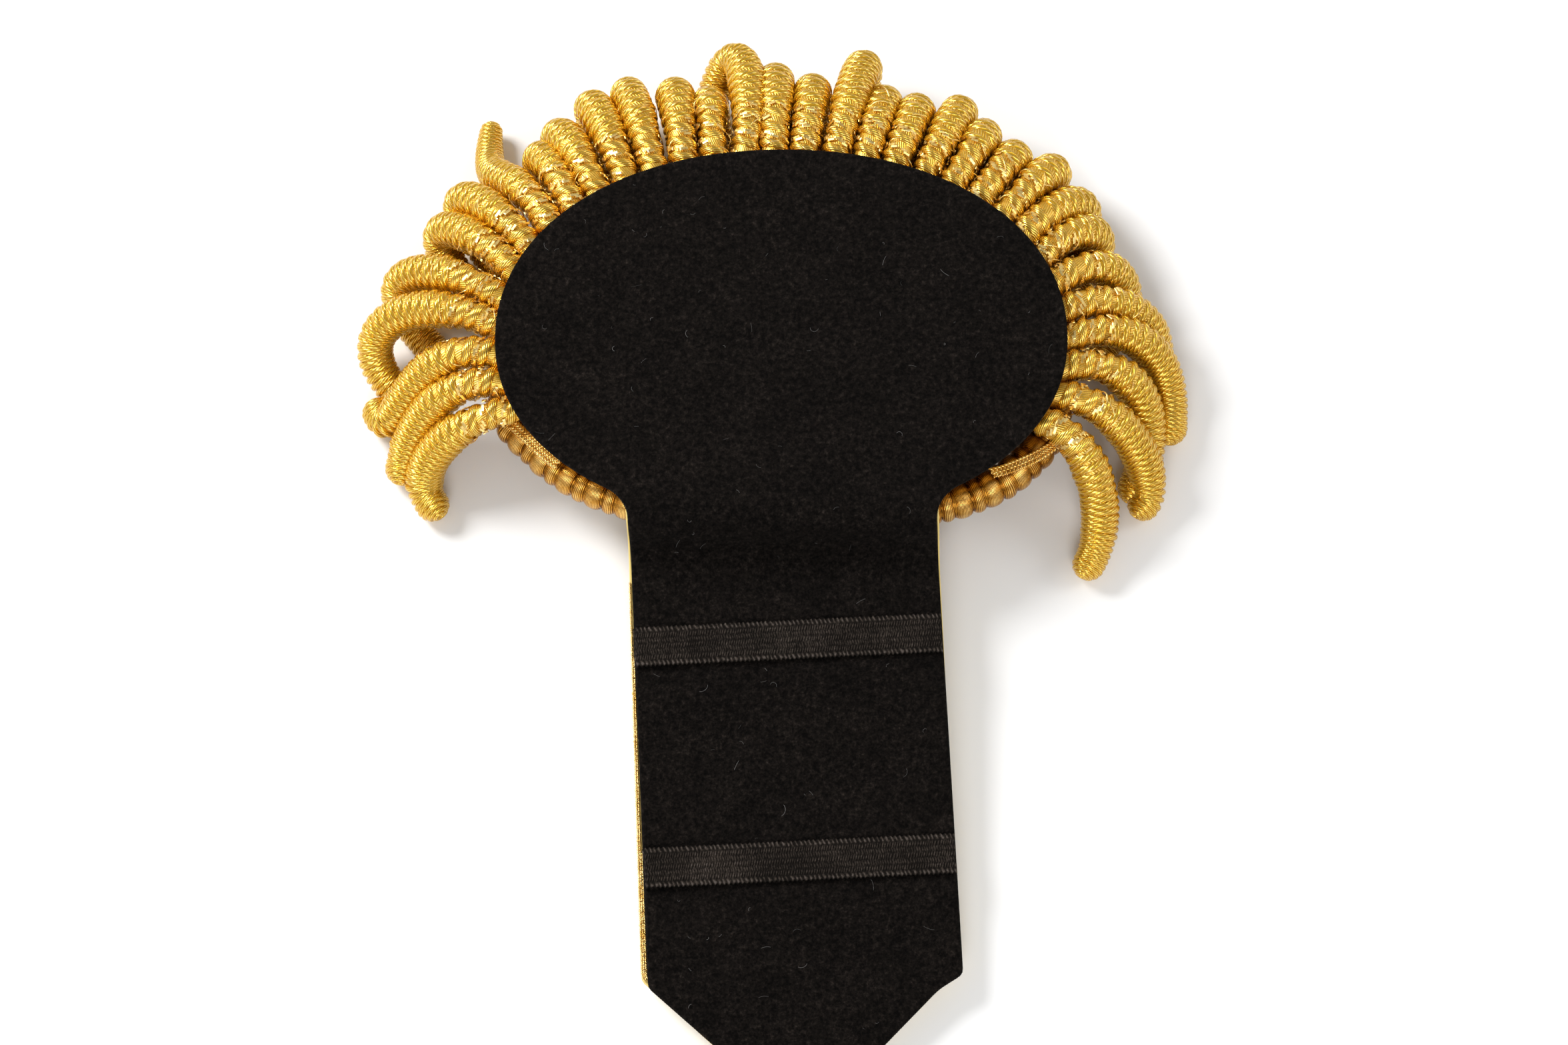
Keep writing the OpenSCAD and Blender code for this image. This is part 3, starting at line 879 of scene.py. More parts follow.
def elastic_finish(name, look):
    """Black elastic: yarn loops paler on their crests as painted highlight, black between them as painted shade,
    with faint rubbed patches.
    """
    material, net, shader = start_material(name)
    yarn, patch = net.noise(1700.0, 4.0, 0.75), net.noise(130.0, 3.0, 0.6)
    tone = np.array(look.elastic_colour)
    net.fill(shader, {
        # Painted highlight on the loops' crests and painted shade between them, both keyed to the crest attribute
        "Base Color": net.ramp(
            net.attribute("crest") + (yarn - 0.5) * 2.4 + (patch - 0.5) * 0.9,
            (0.1, tone * 0.35), (0.55, tone * 1.35), (0.95, tone * 3.0), (1.0, (0.075, 0.062, 0.055))),
        "Roughness": 0.75, "Specular IOR Level": 0.04, "Normal": net.bump(yarn, 0.5, 0.00012),
    })
    return material


def lint_finish(name):
    """Pale fluff caught on the felt."""
    material, net, shader = start_material(name)
    tone = net.noise(90.0, 2.0, 0.5)
    net.fill(shader, {
        "Base Color": net.ramp(tone, (0.35, (0.05, 0.048, 0.045)), (0.7, (0.30, 0.29, 0.28))), "Roughness": 0.9,
    })
    return material


# ---- sizes and colours a user would change ----

class FeltSettings(bpy.types.PropertyGroup):
    soft_edge: bpy.props.FloatProperty(
        name="Soft edge", description="Radius of the felt's rounded edge", default=0.75 * MM,
        min=0.2 * MM, max=0.8 * MM, unit="LENGTH", subtype="DISTANCE")
    mesh_step: bpy.props.FloatProperty(
        name="Mesh step", description="Size of the felt's faces", default=1.5 * MM,
        min=0.8 * MM, max=4 * MM, unit="LENGTH", subtype="DISTANCE")
    felt_colour: bpy.props.FloatVectorProperty(
        name="Felt colour", description="Colour of the felt", default=(0.0062, 0.0048, 0.0040),
        min=0, max=1, subtype="COLOR")
    elastic_colour: bpy.props.FloatVectorProperty(
        name="Elastic colour", description="Colour of the elastic bands", default=(0.0172, 0.0136, 0.0110),
        min=0, max=1, subtype="COLOR")
    lint_count: bpy.props.IntProperty(
        name="Lint", description="Number of pale fibres caught on the felt", default=110, min=0, max=600)


class GoldSettings(bpy.types.PropertyGroup):
    bright: bpy.props.FloatVectorProperty(
        name="Bright gold", description="Colour of the gilt wire", default=(1.0, 0.705, 0.185),
        min=0, max=1, subtype="COLOR")
    # Deep gold is painted shade: the colour of the gilt wire's hollows beside and between its wires
    deep: bpy.props.FloatVectorProperty(
        name="Deep gold", description="Colour of the gilt wire in its hollows", default=(0.84, 0.465, 0.03),
        min=0, max=1, subtype="COLOR")
    roughness: bpy.props.FloatProperty(
        name="Roughness", description="Roughness of the gilt wire", default=0.19, min=0.05, max=0.8)


class BullionSettings(bpy.types.PropertyGroup):
    points_per_turn: bpy.props.IntProperty(
        name="Points a turn", description="Points in one turn of the coiled cord", default=20, min=12, max=40)
    ridges: bpy.props.IntProperty(
        name="Ridges", description="Flats round the cord, half of them raised", default=5, min=3, max=12)
    ridge_depth: bpy.props.FloatProperty(
        name="Ridge depth", description="Depth between the strands, as a share of the cord's radius",
        default=0.04, min=0, max=0.5, subtype="FACTOR")
    wires: bpy.props.IntProperty(
        name="Wires", description="Fine wires that wind round the cord; twice as many in a head",
        default=8, min=3, max=30)
    wire_pitch: bpy.props.FloatProperty(
        name="Wire pitch", description="Distance between wires along the cord", default=1.4 * MM,
        min=0.6 * MM, max=6 * MM, unit="LENGTH", subtype="DISTANCE")
    head_wire_pitch: bpy.props.FloatProperty(
        name="Head wire pitch", description="Twice the distance between wires along the cord in a head",
        default=2.1 * MM, min=1 * MM, max=6 * MM, unit="LENGTH", subtype="DISTANCE")
    wire_relief: bpy.props.FloatProperty(
        name="Wire relief", description="How round the wires stand out of the cord", default=0.88,
        min=0, max=1, subtype="FACTOR")
    head_pitch: bpy.props.FloatProperty(
        name="Head pitch", description="Distance between the fat loops of a head", default=3.7 * MM,
        min=2 * MM, max=6 * MM, unit="LENGTH", subtype="DISTANCE")
    body_pitch: bpy.props.FloatProperty(
        name="Body pitch", description="Distance between turns below the head", default=2.1 * MM,
        min=1 * MM, max=3 * MM, unit="LENGTH", subtype="DISTANCE")
    tip_pitch: bpy.props.FloatProperty(
        name="Tip pitch", description="Distance between turns at the tip", default=1.1 * MM,
        min=0.6 * MM, max=2 * MM, unit="LENGTH", subtype="DISTANCE")


class StageSettings(bpy.types.PropertyGroup):
    distance: bpy.props.FloatProperty(
        name="Camera distance", description="From the camera to what it looks at", default=0.85,
        min=0.3, max=3, unit="LENGTH", subtype="DISTANCE")
    elevation: bpy.props.FloatProperty(
        name="Elevation", description="Camera's angle above the floor", default=math.radians(69),
        min=0.1, max=1.57, unit="ROTATION", subtype="ANGLE")
    turn: bpy.props.FloatProperty(
        name="Turn", description="Camera's turn about the upright", default=math.radians(-0.5),
        min=-3.2, max=3.2, unit="ROTATION", subtype="ANGLE")
    floor_colour: bpy.props.FloatVectorProperty(
        name="Floor colour", description="Colour of the floor", default=(0.92, 0.92, 0.92),
        min=0, max=1, subtype="COLOR")
    key_power: bpy.props.FloatProperty(
        name="Key light", description="Power of the main light in watts", default=9.0, min=0, max=200)
    fill_power: bpy.props.FloatProperty(
        name="Fill light", description="Power of the side lights in watts", default=4.0, min=0, max=200)
    sky: bpy.props.FloatProperty(
        name="Sky", description="Strength of the light from the sides", default=0.62, min=0, max=3)
    overhead: bpy.props.FloatProperty(
        name="Overhead", description="Strength of the light from overhead", default=0.3, min=0, max=3)


# ---- operators ----

def slanted(way, side, up, angle):
    """Axes of a small piece that lies flat on a surface, turned from one direction towards another."""
    x = way * math.cos(angle) + side * math.sin(angle)
    return np.column_stack([x, np.cross(up, x), up])


def straight(points, radius, **values):
    """A path whose cord isn't coiled: its points and the cord's radius at each, in millimetres."""
    return points, {"coil": radius * 0, "cord": radius * MM, "turn": radius * 0, **values}


def leaf_piece(material):
    """One plump stitch, two units long, with pointed ends."""
    around = np.linspace(0, 2 * math.pi, 8, endpoint=False)
    rings = []
    for x in np.linspace(-1, 1, 7)[1:-1]:
        r = math.cos(x * math.pi / 2) ** 0.6
        rings.append([(x, r * math.cos(a), r * math.sin(a)) for a in around])
    points, faces = tube_mesh(rings, clockwise=True)
    points[-2:] = [(-1, 0, 0), (1, 0, 0)]
    return new_piece("stitch", points, faces, material)


def plate_piece(material):
    """One flat plate with cut ends, two units each way."""
    corners = ((-1, -1), (1, -1), (1, 1), (-1, 1))
    points = [(x * w, y * w, z) for z, w in ((-1, 0.8), (-0.4, 1), (0.4, 1), (1, 0.8)) for x, y in corners]
    faces = net_faces(4, 4) + [(3, 2, 1, 0), (12, 13, 14, 15)]
    return new_piece("plate", points, faces, material, smooth_faces=False)


class EPAULETTE_OT_felt(bpy.types.Operator):
    """Lays the black felt over the pad, down the neck and along the strap"""
    bl_idname = "epaulette.felt"
    bl_label = "Felt backing"

    def execute(self, context):
        look = context.scene.epaulette_felt
        material = put_once("black_felt", felt_finish, look)
        points, faces, uv, ring = sheet_mesh(
            plan_outline(), 0.0, lambda y: np.full(len(y), FELT), look.soft_edge / MM, look.mesh_step / MM)
        obj = finish_piece(new_piece("felt_sheet", points, faces, material, uv), "felt", "felt_backing")
        size = (ring.max(axis=0) - ring.min(axis=0)) * MM
        area_of(ring) * MM * MM
        return {"FINISHED"}


class EPAULETTE_OT_lace(bpy.types.Operator):
    """Covers the board under the felt with gold lace"""
    bl_idname = "epaulette.lace"
    bl_label = "Lace board"

    def execute(self, context):
        def deep(y):
            pad = FELT + PLY_GAP + PAD_BOARD
            return STRAP_DEEP + (pad - STRAP_DEEP) * smooth((y + FOLD_START) / BOARD_TAPER)

        points, faces, uv, _ = sheet_mesh(board_outline(), FELT + PLY_GAP, deep, LACE_SOFT, LACE_STEP)
        material = put_once("gold_lace", lace_finish)
        finish_piece(new_piece("lace_covered_board", points, faces, material, uv), "gold_lace", "lace_board")
        return {"FINISHED"}


class EPAULETTE_OT_lace_edge(bpy.types.Operator):
    """Sets the chain of gold loops along the lace where it shows beside the strap's left edge"""
    bl_idname = "epaulette.lace_edge"
    bl_label = "Lace edge"

    def execute(self, context):
        chance = np.random.default_rng(23)
        edge = evenly(board_outline(), LOOP_STEP)
        line = edge[(edge[:, 0] < -STRAP_WIDTH / 4) & (edge[:, 1] < -STRAP_FOOT)]
        rows, past = [], 0
        for before, here, after in zip(line, line[1:], line[2:]):
            way = unit(after - before)
            inward = np.array([-way[1], way[0]])
            shown = LACE_SIDE + max(-here[1] - NECK_PIVOT, 0) * math.sin(LACE_TURN)
            # Past the strap's corner the loops thin out and end
            past += int(way[0] > 0.4)
            if past > 8:
                break
            if past and chance.random() < 0.6:
                continue
            for column in range(max(1, round(shown / 0.42))):
                spot = here + inward * (0.22 + 0.4 * column + chance.normal(0, 0.02))
                spot += way * chance.normal(0, 0.06)
                centre, further = (
                    on_sheet(p[0], length_at(p[1]), FELT + 0.02) for p in (spot, spot + way * 0.2))
                ahead = unit(further - centre)
                up = unit(np.cross(ahead, np.append(inward, 0.0)))
                up *= 1 if up[2] > 0 else -1
                slant = math.radians(chance.normal(38, 14)) * (-1) ** column
                rows.append((
                    centre + up * chance.uniform(0.0, 0.25), slanted(ahead, np.cross(up, ahead), up, slant),
                    (chance.uniform(0.28, 0.38), chance.uniform(0.19, 0.25), 0.24),
                ))
        material = put_once("gilt_selvedge", gold_finish, (0.70, 0.44, 0.11), (1.0, 0.80, 0.40), 0.28)
        scattered("lace_edge_loops", rows, leaf_piece(material), material, "gold_lace")
        return {"FINISHED"}


class EPAULETTE_OT_roll(bpy.types.Operator):
    """Winds the padded roll round the rim in wraps of fine wire"""
    bl_idname = "epaulette.roll"
    bl_label = "Crescent roll"

    def execute(self, context):
        line = np.array([roll_point(a) for a in np.linspace(ROLL_FROM, ROLL_TO, 3001)])
        run = run_of(line)
        last = round(run[-1] / WRAP_PITCH) * WRAP_STEPS
        around = np.linspace(0, 2 * math.pi, ROLL_SIDES, endpoint=False)
        rings, phases, crests, ways = [], [], [], []
        for k in range(last + 1):
            s = run[-1] * k / last
            centre, ahead, side, _ = line_frame(line, run, s)
            u = (k % WRAP_STEPS) / WRAP_STEPS
            wide = u < LEAF_SHARE
            v = u / LEAF_SHARE if wide else (u - LEAF_SHARE) / (1 - LEAF_SHARE)
            hollow, height, fan = WIDE_WRAP if wide else NARROW_WRAP
            crest = math.sin(math.pi * v) ** hollow * height
            if not wide and v < 0.1:
                crest = max(crest, 0.35)
            girth = (ROLL_RADIUS - WRAP_GROOVE + WRAP_GROOVE * crest) * (0.6 if k in (0, last) else 1)
            rings.append([centre + (side * math.cos(a) + UPWARD * math.sin(a)) * girth for a in around])
            phases += [s / ROLL_WIRE + fan * (v - 0.5) * math.sin(a - ROLL_LEAN) for a in around]
            # Painted shade: the wrap's height, lowered on the roll's side under the felt, darkens the wires there
            # and in the grooves
            crests += [crest - 0.9 * max(math.cos(a - ROLL_LEAN), 0.0) ** 2 for a in around]
            ways += [ahead] * ROLL_SIDES
        points, faces = tube_mesh(rings)
        obj = new_piece("wound_roll", placed(points), faces, put_once("wound_wire", wire_roll_finish))
        lay_attribute(obj.data, "phase", phases + [0, 0])
        lay_attribute(obj.data, "crest", crests + [0, 0])
        lay_attribute(obj.data, "way", ways + [ways[0], ways[-1]])
        finish_piece(obj, "gold_wire", "crescent_roll")
        return {"FINISHED"}


class EPAULETTE_OT_braids(bpy.types.Operator):
    """Lays the herringbone braids between felt and roll on either side of the neck"""
    bl_idname = "epaulette.braids"
    bl_label = "Edge braids"

    def execute(self, context):
        roughness = context.scene.epaulette_gold.roughness
        material = put_once("gilt_braid", gold_finish, (0.55, 0.27, 0.035), (0.95, 0.66, 0.24), roughness)
        for name, angles, leans in (
            ("edge_braid_left", (FIRST_ANGLE + 18, FIRST_ANGLE + 2), (10, 10)),
            ("edge_braid_right", (LAST_ANGLE - 2, LAST_ANGLE - 18), (36, -14)),
        ):
            rows = []
            places = zip(np.linspace(*angles, 35), np.radians(np.linspace(*leans, 35)))
            for k, (angle, lean) in enumerate(places):
                way = unit(roll_point(angle + 0.5) - roll_point(angle - 0.5))
                up = np.append(rim_out(angle) * math.sin(lean), math.cos(lean))
                across = unit(np.cross(way, up))
                middle = roll_point(angle) + up * (ROLL_RADIUS + PLY_GAP + BRAID_THICK / 2)
                for column in range(4):
                    rise = 0.12 if (k % 2 == 1) == (column > 1) else -0.12
                    rows.append((
                        middle + across * (column - 1.5) * BRAID_WIDTH / 4.6 + up * rise,
                        slanted(way, across, up, math.radians(36) * (-1) ** column), (0.78, 0.29, 0.38),
                    ))
            scattered(name + "_plait", rows, leaf_piece(material), material, "gold_braid", name)
        return {"FINISHED"}


class EPAULETTE_OT_bullions(bpy.types.Operator):
    """Coils the gold cord of each bullion round its path, with plates between the loops of its head"""
    bl_idname = "epaulette.bullions"
    bl_label = "Bullions"

    def execute(self, context):
        gold, coil = context.scene.epaulette_gold, context.scene.epaulette_bullions
        cord_gold = put_once(
            "gilt_cord", gold_finish, gold.deep, gold.bright, gold.roughness, coil.wires, coil.wire_relief)
        plate_gold = put_once("bright_plate", gold_finish, (0.90, 0.58, 0.15), (1.0, 0.79, 0.33), 0.3)
        core_gold = put_once("gilt_core", gold_finish, (0.80, 0.44, 0.045), (1.0, 0.70, 0.20), 0.3, 36, 0.8)
        chance = np.random.default_rng(11)
        coils, cores, plates, stray = [], [], [], []
        for i in range(len(BULLION_LIE)):
            line, run, full = bullion_line(i)
            head_end = chance.uniform(9.0, 11.5)
            tail = THIN_TAIL if i == TAIL_OUT else 1.0
            s, ring, cord, turn, wire, lay = self.wound(coil, full, head_end, chance, tail)
            coils.append((along_line(line, run, s), {
                "coil": ring * MM, "cord": cord * MM, "turn": turn, "run": wire, "lay": lay * MM,
            }))
            at = np.linspace(0.2, full + 2.4, 70)
            filled = np.interp(s, [11, 16, full * 0.6, full * 0.85], [0.5, 0.62, 0.55, 0.1])
            girth = np.maximum(np.interp(at, s, ring + cord * filled), 0.4)
            girth *= np.interp(at, [full + 1.2, full + 2.4], [1, 0.4])
            cores.append(straight(
                along_line(line, run, at), girth, run=at / CORE_LAY, lay=at * 0 + CORE_LAY * MM))
            plates += self.head_plates(line, run, s, turn, head_end, coil.head_pitch / MM, chance)
            stray += self.stray_wires(line, run, head_end, chance)
        for name, first, last in (
            ("bullions_left", 0, 11), ("bullions_outer", 11, 22), ("bullions_right", 22, 32),
        ):
            coiled(name, coils[first:last], coil.ridges, coil.ridge_depth, cord_gold,
                   "gold_bullion", "bullion_fringe")
        coiled("bullion_cores", cores, 6, 0.03, core_gold, "gold_bullion")
        coiled("stray_wires", stray, 3, 0.1, plate_gold, "gold_bullion")
        scattered("head_plates", plates, plate_piece(plate_gold), plate_gold, "gold_bullion")
        return {"FINISHED"}

    def wound(self, coil, full, head_end, chance, tail):
        """One coiled cord by steps: way along the bullion, coil and cord radius, turn, wires passed and pitch."""
        head, body, tip = (v / MM for v in (coil.head_pitch, coil.body_pitch, coil.tip_pitch))
        head_lay, body_lay = coil.head_wire_pitch / MM, coil.wire_pitch / MM
        step, bend = 1 / coil.points_per_turn, 1.03 + BEND_SPREAD
        # Half of these draws goes unused
        uneven = np.interp(np.arange(0, 100, 0.05), np.arange(200) * 0.5, chance.normal(0, 1, 400)[200:])
        turn, s, wire, dome, rows = chance.uniform(0, 2 * math.pi), 0.6, 0.0, 0.0, []
        while dome < math.radians(78):
            if s <= full:
                share = np.interp(
                    s, [0, 3, head_end - 2, head_end + 2, 16, 22, 30, full * 0.85, full],
                    [0.86, HEAD_SHARE, HEAD_SHARE, 0.98, bend, bend, 1.07, 1.01, 0.98])
                share *= np.interp(s, [0, full * 0.6, full * 0.75, full], [1, 1, (1 + tail) / 2, tail])
                share *= 1 + np.interp(s, [head_end, head_end + 6], [0.05, 0.02]) * uneven[len(rows) // 5 + 400]
                cord = np.interp(s, [head_end - 2, head_end + 3, full - 16, full], [1.27, 1.14, 0.87, 0.63])
                lay = np.interp(s, [head_end - 1, head_end + 4], [head_lay, body_lay])
                pitch = np.interp(
                    s, [head_end - 1.5, head_end + 0.8, head_end + 5, full - 16, full],
                    [head, 2.6, body, 1.5, tip])
                at = s
                ring = base = BULLION_RADIUS * share - cord
                s += pitch * (1 + (0.16 if s < head_end else 0.09) * uneven[len(rows)]) * step
            else:
                at, ring = full + base * math.sin(dome) * 0.95, base * math.cos(dome)
                dome += tip / base * step
            rows.append((at, ring, cord, -turn, wire, lay))
            turn += 2 * math.pi * step
            wire += math.hypot(2 * math.pi * ring, 2.0) * step / lay
        return np.array(rows).T

    def stray_wires(self, line, run, head_end, chance):
        """Single wires that have come up between the loops and cross them at odd angles."""
        found = []
        t = np.linspace(0, 1, 12)
        for _ in range(chance.integers(7, 12)):
            s, a = chance.uniform(0.5, head_end + 7), chance.uniform(0, 2 * math.pi)
            at = s + t * chance.uniform(-2.6, 2.6)
            about = (a + t * chance.uniform(0.5, 1.3) * chance.choice([-1, 1]))[:, None]
            girth = BULLION_RADIUS * np.interp(
                at, [0, head_end - 2, head_end + 2, 16], [HEAD_SHARE, HEAD_SHARE, 0.98, 1.09])
            girth += np.sin(math.pi * t) * chance.uniform(0.25, 0.6) - 0.25
            centre, _, side, down = line_frame(line, run, at)
            path = centre + (side * np.cos(about) + down * np.sin(about)) * girth[:, None]
            found.append(straight(path, np.full(12, chance.uniform(0.10, 0.15))))
        return found

    def head_plates(self, line, run, at, turns, head_end, pitch, chance):
        """Groups of two or three bright bars, like stairs across the gap between the loops of one head."""
        found = []
        for turn in np.arange(chance.uniform(0, 1.0), 2 * math.pi * (head_end + 1.0) / pitch, 0.98):
            first = np.interp(turn, turns[0] - turns, at) + pitch / 2
            missing = chance.random() < 0.22
            slant, drop = chance.uniform(-0.35, 0.35), chance.uniform(0.0, 0.3)
            for k in range(0 if missing else chance.integers(2, 4)):
                s, a = first + (k - 1) * 0.5, turns[0] - turn - (k - 1) * 0.24
                centre, way, side, down = line_frame(line, run, s)
                out = side * math.cos(a) + down * math.sin(a)
                girth = BULLION_RADIUS * np.interp(s, [0, 3, 9, 13], [0.86, HEAD_SHARE, HEAD_SHARE, 0.98])
                found.append((
                    centre + out * (girth - 0.14 - drop),
                    slanted(np.cross(out, way), way, out, slant + chance.uniform(-0.12, 0.12)),
                    (chance.uniform(0.7, 0.95), 0.29, 0.12),
                ))
        return found


class EPAULETTE_OT_tape(bpy.types.Operator):
    """Runs the tape that the heads are sewn to round the board's edge"""
    bl_idname = "epaulette.tape"
    bl_label = "Head tape"

    def execute(self, context):
        low, high = ROLL_Z + ROLL_RADIUS + PLY_GAP, PAD_TOP - FELT - PLY_GAP
        inner, outer = PLY_GAP - FELT_OVER, TAPE - FELT_OVER + PLY_GAP
        section = [(outer - 0.12 * (-1) ** k, z) for k, z in enumerate(np.linspace(low, high, 12))]
        section += [(inner, high), (inner, low)]
        points, faces = tube_mesh([
            [np.append(rim_point(angle, grow), z) for grow, z in section]
            for angle in np.linspace(FIRST_ANGLE, LAST_ANGLE, 181)
        ], clockwise=True)
        material = put_once("gilt_tape", gold_finish, (0.75, 0.36, 0.02), (0.95, 0.55, 0.06), 0.5)
        finish_piece(new_piece("head_tape", placed(points), faces, material), "gold_bullion")
        return {"FINISHED"}


class EPAULETTE_OT_elastics(bpy.types.Operator):
    """Sews the two ribbed elastic bands across the strap"""
    bl_idname = "epaulette.elastics"
    bl_label = "Elastic bands"

    def execute(self, context):
        material = put_once("black_elastic", elastic_finish, context.scene.epaulette_felt)
        _, start_y, start_z, slope = STRAP_START
        rows, columns = ELASTIC_FACES
        x, v = np.meshgrid(
            np.linspace(-STRAP_WIDTH / 2, STRAP_WIDTH / 2, columns + 1), np.linspace(-0.5, 0.5, rows + 1))
        band = (v + 0.5) * ELASTIC_ROWS
        line = np.floor(band)
        edge = smooth((np.abs(v) - 0.36) / 0.06)
        # Each row of loops leans the other way and starts at its own place
        lean = (band - line - 0.5) * 0.55 * (1 - 2 * (line % 2)) + 0.618 * line
        lean += 0.22 * ripple(np.column_stack([x.ravel(), 3 * line.ravel()]), 2.4, 41).reshape(x.shape)
        pitch = np.where(np.abs(v) > 0.5 - 1 / ELASTIC_ROWS, ELASTIC_PICOT, ELASTIC_STITCH)
        stitch = np.sin(2 * math.pi * (x / pitch + lean))
        high = np.abs(np.sin(math.pi * band)) ** 0.5 * (0.5 + 0.5 * stitch) * (0.8 + 0.35 * edge)
        # The band thins to its sewn ends
        lift = 0.25 + (0.37 + 0.34 * high * (1 - 0.5 * edge)) * smooth((STRAP_WIDTH / 2 - np.abs(x)) / 0.8)
        wide = v * ELASTIC_WIDTH + 0.16 * edge * np.sin(2 * math.pi * x / ELASTIC_PICOT) * np.sign(v)
        index = np.arange(x.size).reshape(x.shape)
        rim = np.r_[index[0], index[1:, -1], index[-1, -2::-1], index[-2:0:-1, 0]].tolist()
        faces = net_faces(rows + 1, columns + 1, False)
        faces += [tuple(x.size + k for k in f[::-1]) for f in faces]
        faces += [(a, x.size + a, x.size + b, b) for a, b in zip(rim, rim[1:] + rim[:1])]
        for name, at in ELASTIC_AT.items():
            along = wide - (at + start_y) / math.cos(slope)
            points = []
            for rise in (PLY_GAP + lift, np.full_like(lift, PLY_GAP)):
                y = start_y + along * math.cos(slope) - rise * math.sin(slope)
                z = start_z + along * math.sin(slope) + rise * math.cos(slope)
                points += list(np.stack([*turned(x, y, STRAP_TURN), z], axis=-1).reshape(-1, 3))
            obj = new_piece(name + "_band", placed(points), faces, material)
            # The loops' height, which the finish turns into painted highlight and shade
            lay_attribute(obj.data, "crest", np.r_[high.ravel(), high.ravel() * 0])
            finish_piece(obj, "elastic", name)
        return {"FINISHED"}


class EPAULETTE_OT_lint(bpy.types.Operator):
    """Scatters pale fibres on the felt"""
    bl_idname = "epaulette.lint"
    bl_label = "Lint"

    def execute(self, context):
        chance = np.random.default_rng(5)
        ring = rolled_out(plan_outline())
        low, high = ring.min(axis=0), ring.max(axis=0)
        reach = 2.5 * np.array([(1, 0), (-1, 0), (0, 1), (0, -1)])
        paths = []
        while len(paths) < context.scene.epaulette_felt.lint_count:
            p = chance.uniform(low, high)
            if not inside(ring, p + reach).all():
                continue
            way = chance.uniform(0, 6.3) + chance.normal(0, 0.9) / 4 * np.arange(8)
            steps = np.stack([np.cos(way), np.sin(way)], axis=-1) * chance.uniform(0.4, 1.0) ** 2 * 2.6 / 8
            line = np.vstack([p, p + np.cumsum(steps, axis=0)])
            rise = 0.05 + 0.12 * np.sin(np.linspace(0, math.pi, 9)) * chance.uniform(0.2, 1)
            spots = on_sheet(line[:, 0], -line[:, 1], -rise)
            paths.append(straight(spots, np.full(9, chance.uniform(0.014, 0.026))))
        coiled("lint_fibres", paths, 2, 0.3, put_once("lint", lint_finish), "felt")
        return {"FINISHED"}


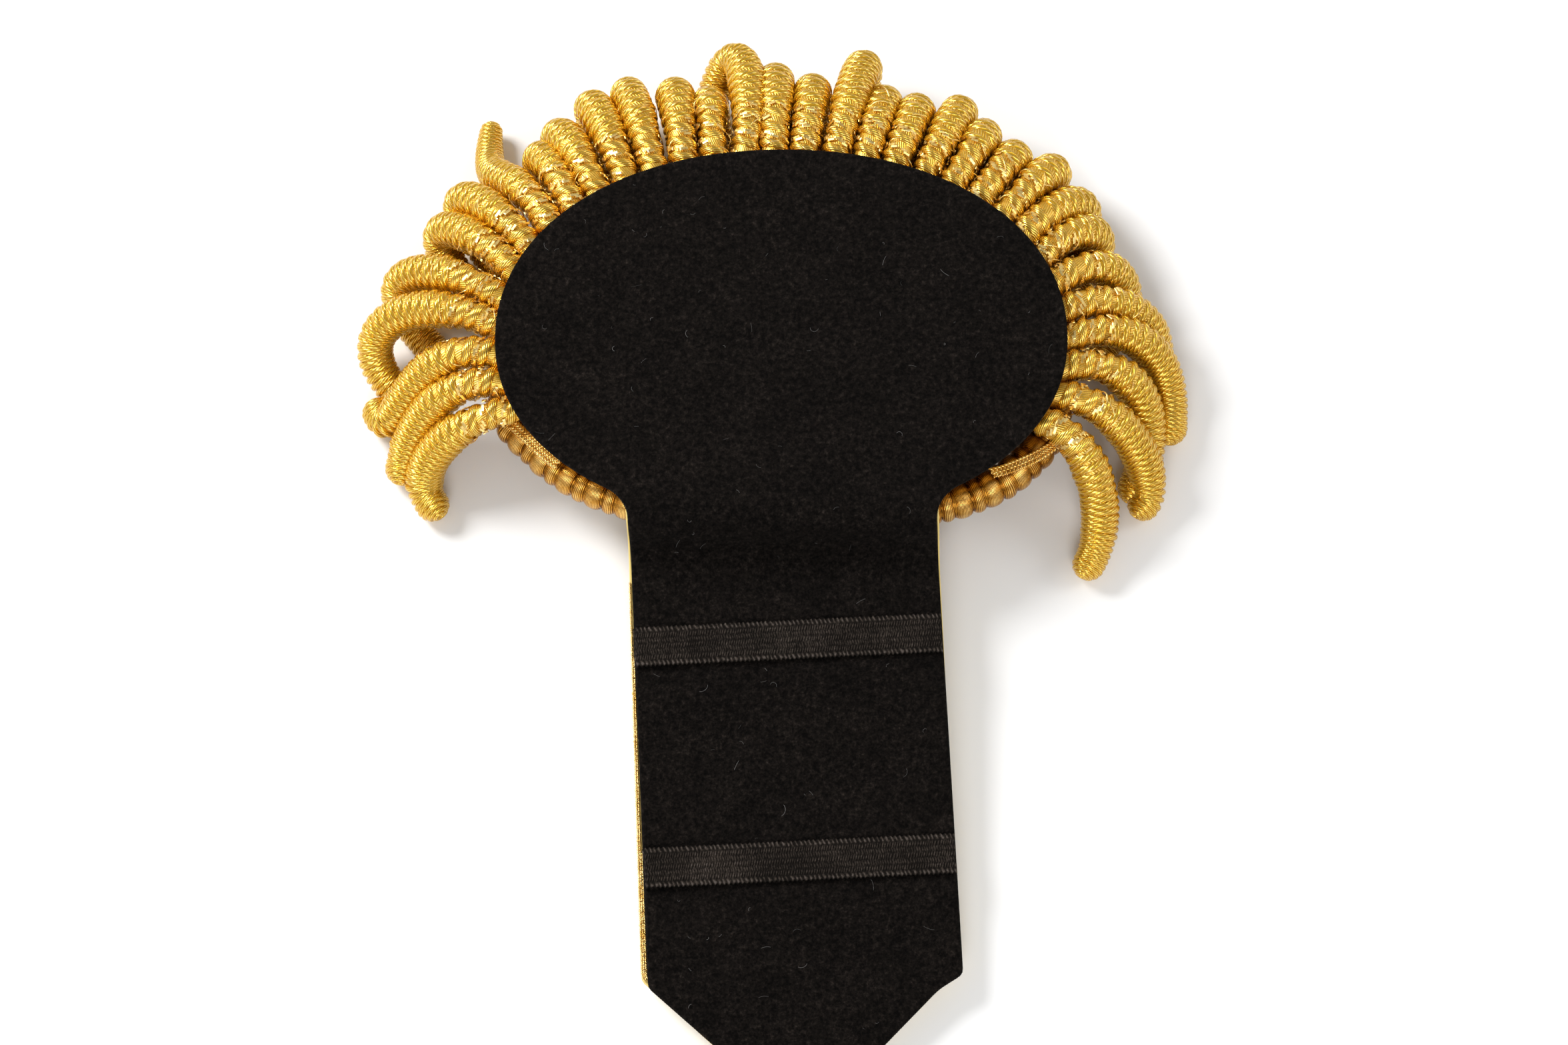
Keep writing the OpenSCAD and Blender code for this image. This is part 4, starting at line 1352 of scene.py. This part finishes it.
class EPAULETTE_OT_stage(bpy.types.Operator):
    """Sets the floor, the camera and the soft studio light"""
    bl_idname = "epaulette.stage"
    bl_label = "Stage"

    def execute(self, context):
        stage, scene = context.scene.epaulette_stage, context.scene
        tilt, about = math.pi / 2 - stage.elevation, Matrix.Rotation(stage.turn, 3, "Z")
        look = about @ Vector((0, math.sin(tilt), -math.cos(tilt)))
        up = about @ Vector((0, math.cos(tilt), math.sin(tilt)))
        right = about @ Vector((1, 0, 0))
        aim = Vector(placed((0.2, -41.0, PAD_TOP)))
        camera_data = bpy.data.cameras.new("camera")
        camera_data.sensor_width = SENSOR
        camera_data.lens = SENSOR * PHOTO_FOCUS / PHOTO_WIDTH
        camera_data.clip_end = 20
        camera = linked("camera", camera_data)
        turned_by = Matrix((right, up, -look)).transposed().to_4x4()
        camera.matrix_world = Matrix.Translation(aim - look * stage.distance) @ turned_by
        scene.camera = camera

        material, net, shader = start_material("pale_floor")
        pale = np.array(stage.floor_colour)
        net.fill(shader, {
            "Base Color": net.ramp(net.noise(3.0, 2.0, 0.5), (0.3, pale * 0.99), (0.7, pale)), "Roughness": 0.8,
        })
        corners = [(x * FLOOR_HALF, y * FLOOR_HALF, 0) for x, y in ((-1, -1), (1, -1), (1, 1), (-1, 1))]
        new_piece("floor", corners, [(0, 1, 2, 3)], material)

        world = bpy.data.worlds.new("pale_sky")
        world.use_nodes = True
        net = Net(world.node_tree)
        _, _, height = net.parts(net.place("Generated"))
        net.fill(next(n for n in net.tree.nodes if n.type == "BACKGROUND"), {
            "Color": (1.0, 1.0, 1.0, 1.0),
            "Strength": net.span(
                height, 0.45, 0.92, stage.sky, stage.overhead, interpolation_type="SMOOTHSTEP"),
        })
        scene.world = world
        middle = Vector(placed((0, -20, 10)))
        for name, place, power, size in (
            ("key", (-0.60, 0.40, 0.60), stage.key_power, 0.42),
            ("fill", (0.75, 0.10, 0.50), stage.fill_power * 0.35, 0.38),
            ("front", (0.0, -0.75, 0.60), stage.fill_power, 0.5),
        ):
            lamp = bpy.data.lights.new(name, "AREA")
            lamp.energy, lamp.shape, lamp.size = power, "DISK", size
            light = linked(name, lamp)
            light.location = middle + Vector(place)
            light.rotation_euler = (middle - light.location).to_track_quat("-Z", "Y").to_euler()
        scene.view_settings.view_transform = "Standard"
        return {"FINISHED"}


GROUPS = {
    "epaulette_felt": FeltSettings,
    "epaulette_gold": GoldSettings,
    "epaulette_bullions": BullionSettings,
    "epaulette_stage": StageSettings,
}
OPERATORS = (
    EPAULETTE_OT_felt,
    EPAULETTE_OT_lace,
    EPAULETTE_OT_lace_edge,
    EPAULETTE_OT_roll,
    EPAULETTE_OT_braids,
    EPAULETTE_OT_bullions,
    EPAULETTE_OT_tape,
    EPAULETTE_OT_elastics,
    EPAULETTE_OT_lint,
    EPAULETTE_OT_stage,
)


class EPAULETTE_PT_panel(bpy.types.Panel):
    """Lists the pieces of the epaulette"""
    bl_idname = "EPAULETTE_PT_panel"
    bl_label = "Bullion epaulette"
    bl_space_type = "VIEW_3D"
    bl_region_type = "UI"
    bl_category = "Epaulette"

    def draw(self, context):
        for group, kind in GROUPS.items():
            column = self.layout.column(align=True)
            for name in kind.__annotations__:
                column.prop(getattr(context.scene, group), name)
        for operator in OPERATORS:
            self.layout.operator(operator.bl_idname)


def register():
    for kind in (*GROUPS.values(), *OPERATORS, EPAULETTE_PT_panel):
        bpy.utils.register_class(kind)
    for name, group in GROUPS.items():
        setattr(bpy.types.Scene, name, bpy.props.PointerProperty(type=group))


def unregister():
    for name in GROUPS:
        delattr(bpy.types.Scene, name)
    for kind in (EPAULETTE_PT_panel, *reversed(OPERATORS), *reversed(GROUPS.values())):
        bpy.utils.unregister_class(kind)


def main():
    register()
    for operator in OPERATORS:
        family, name = operator.bl_idname.split(".")
        getattr(getattr(bpy.ops, family), name)()


if __name__ == "__main__":
    main()
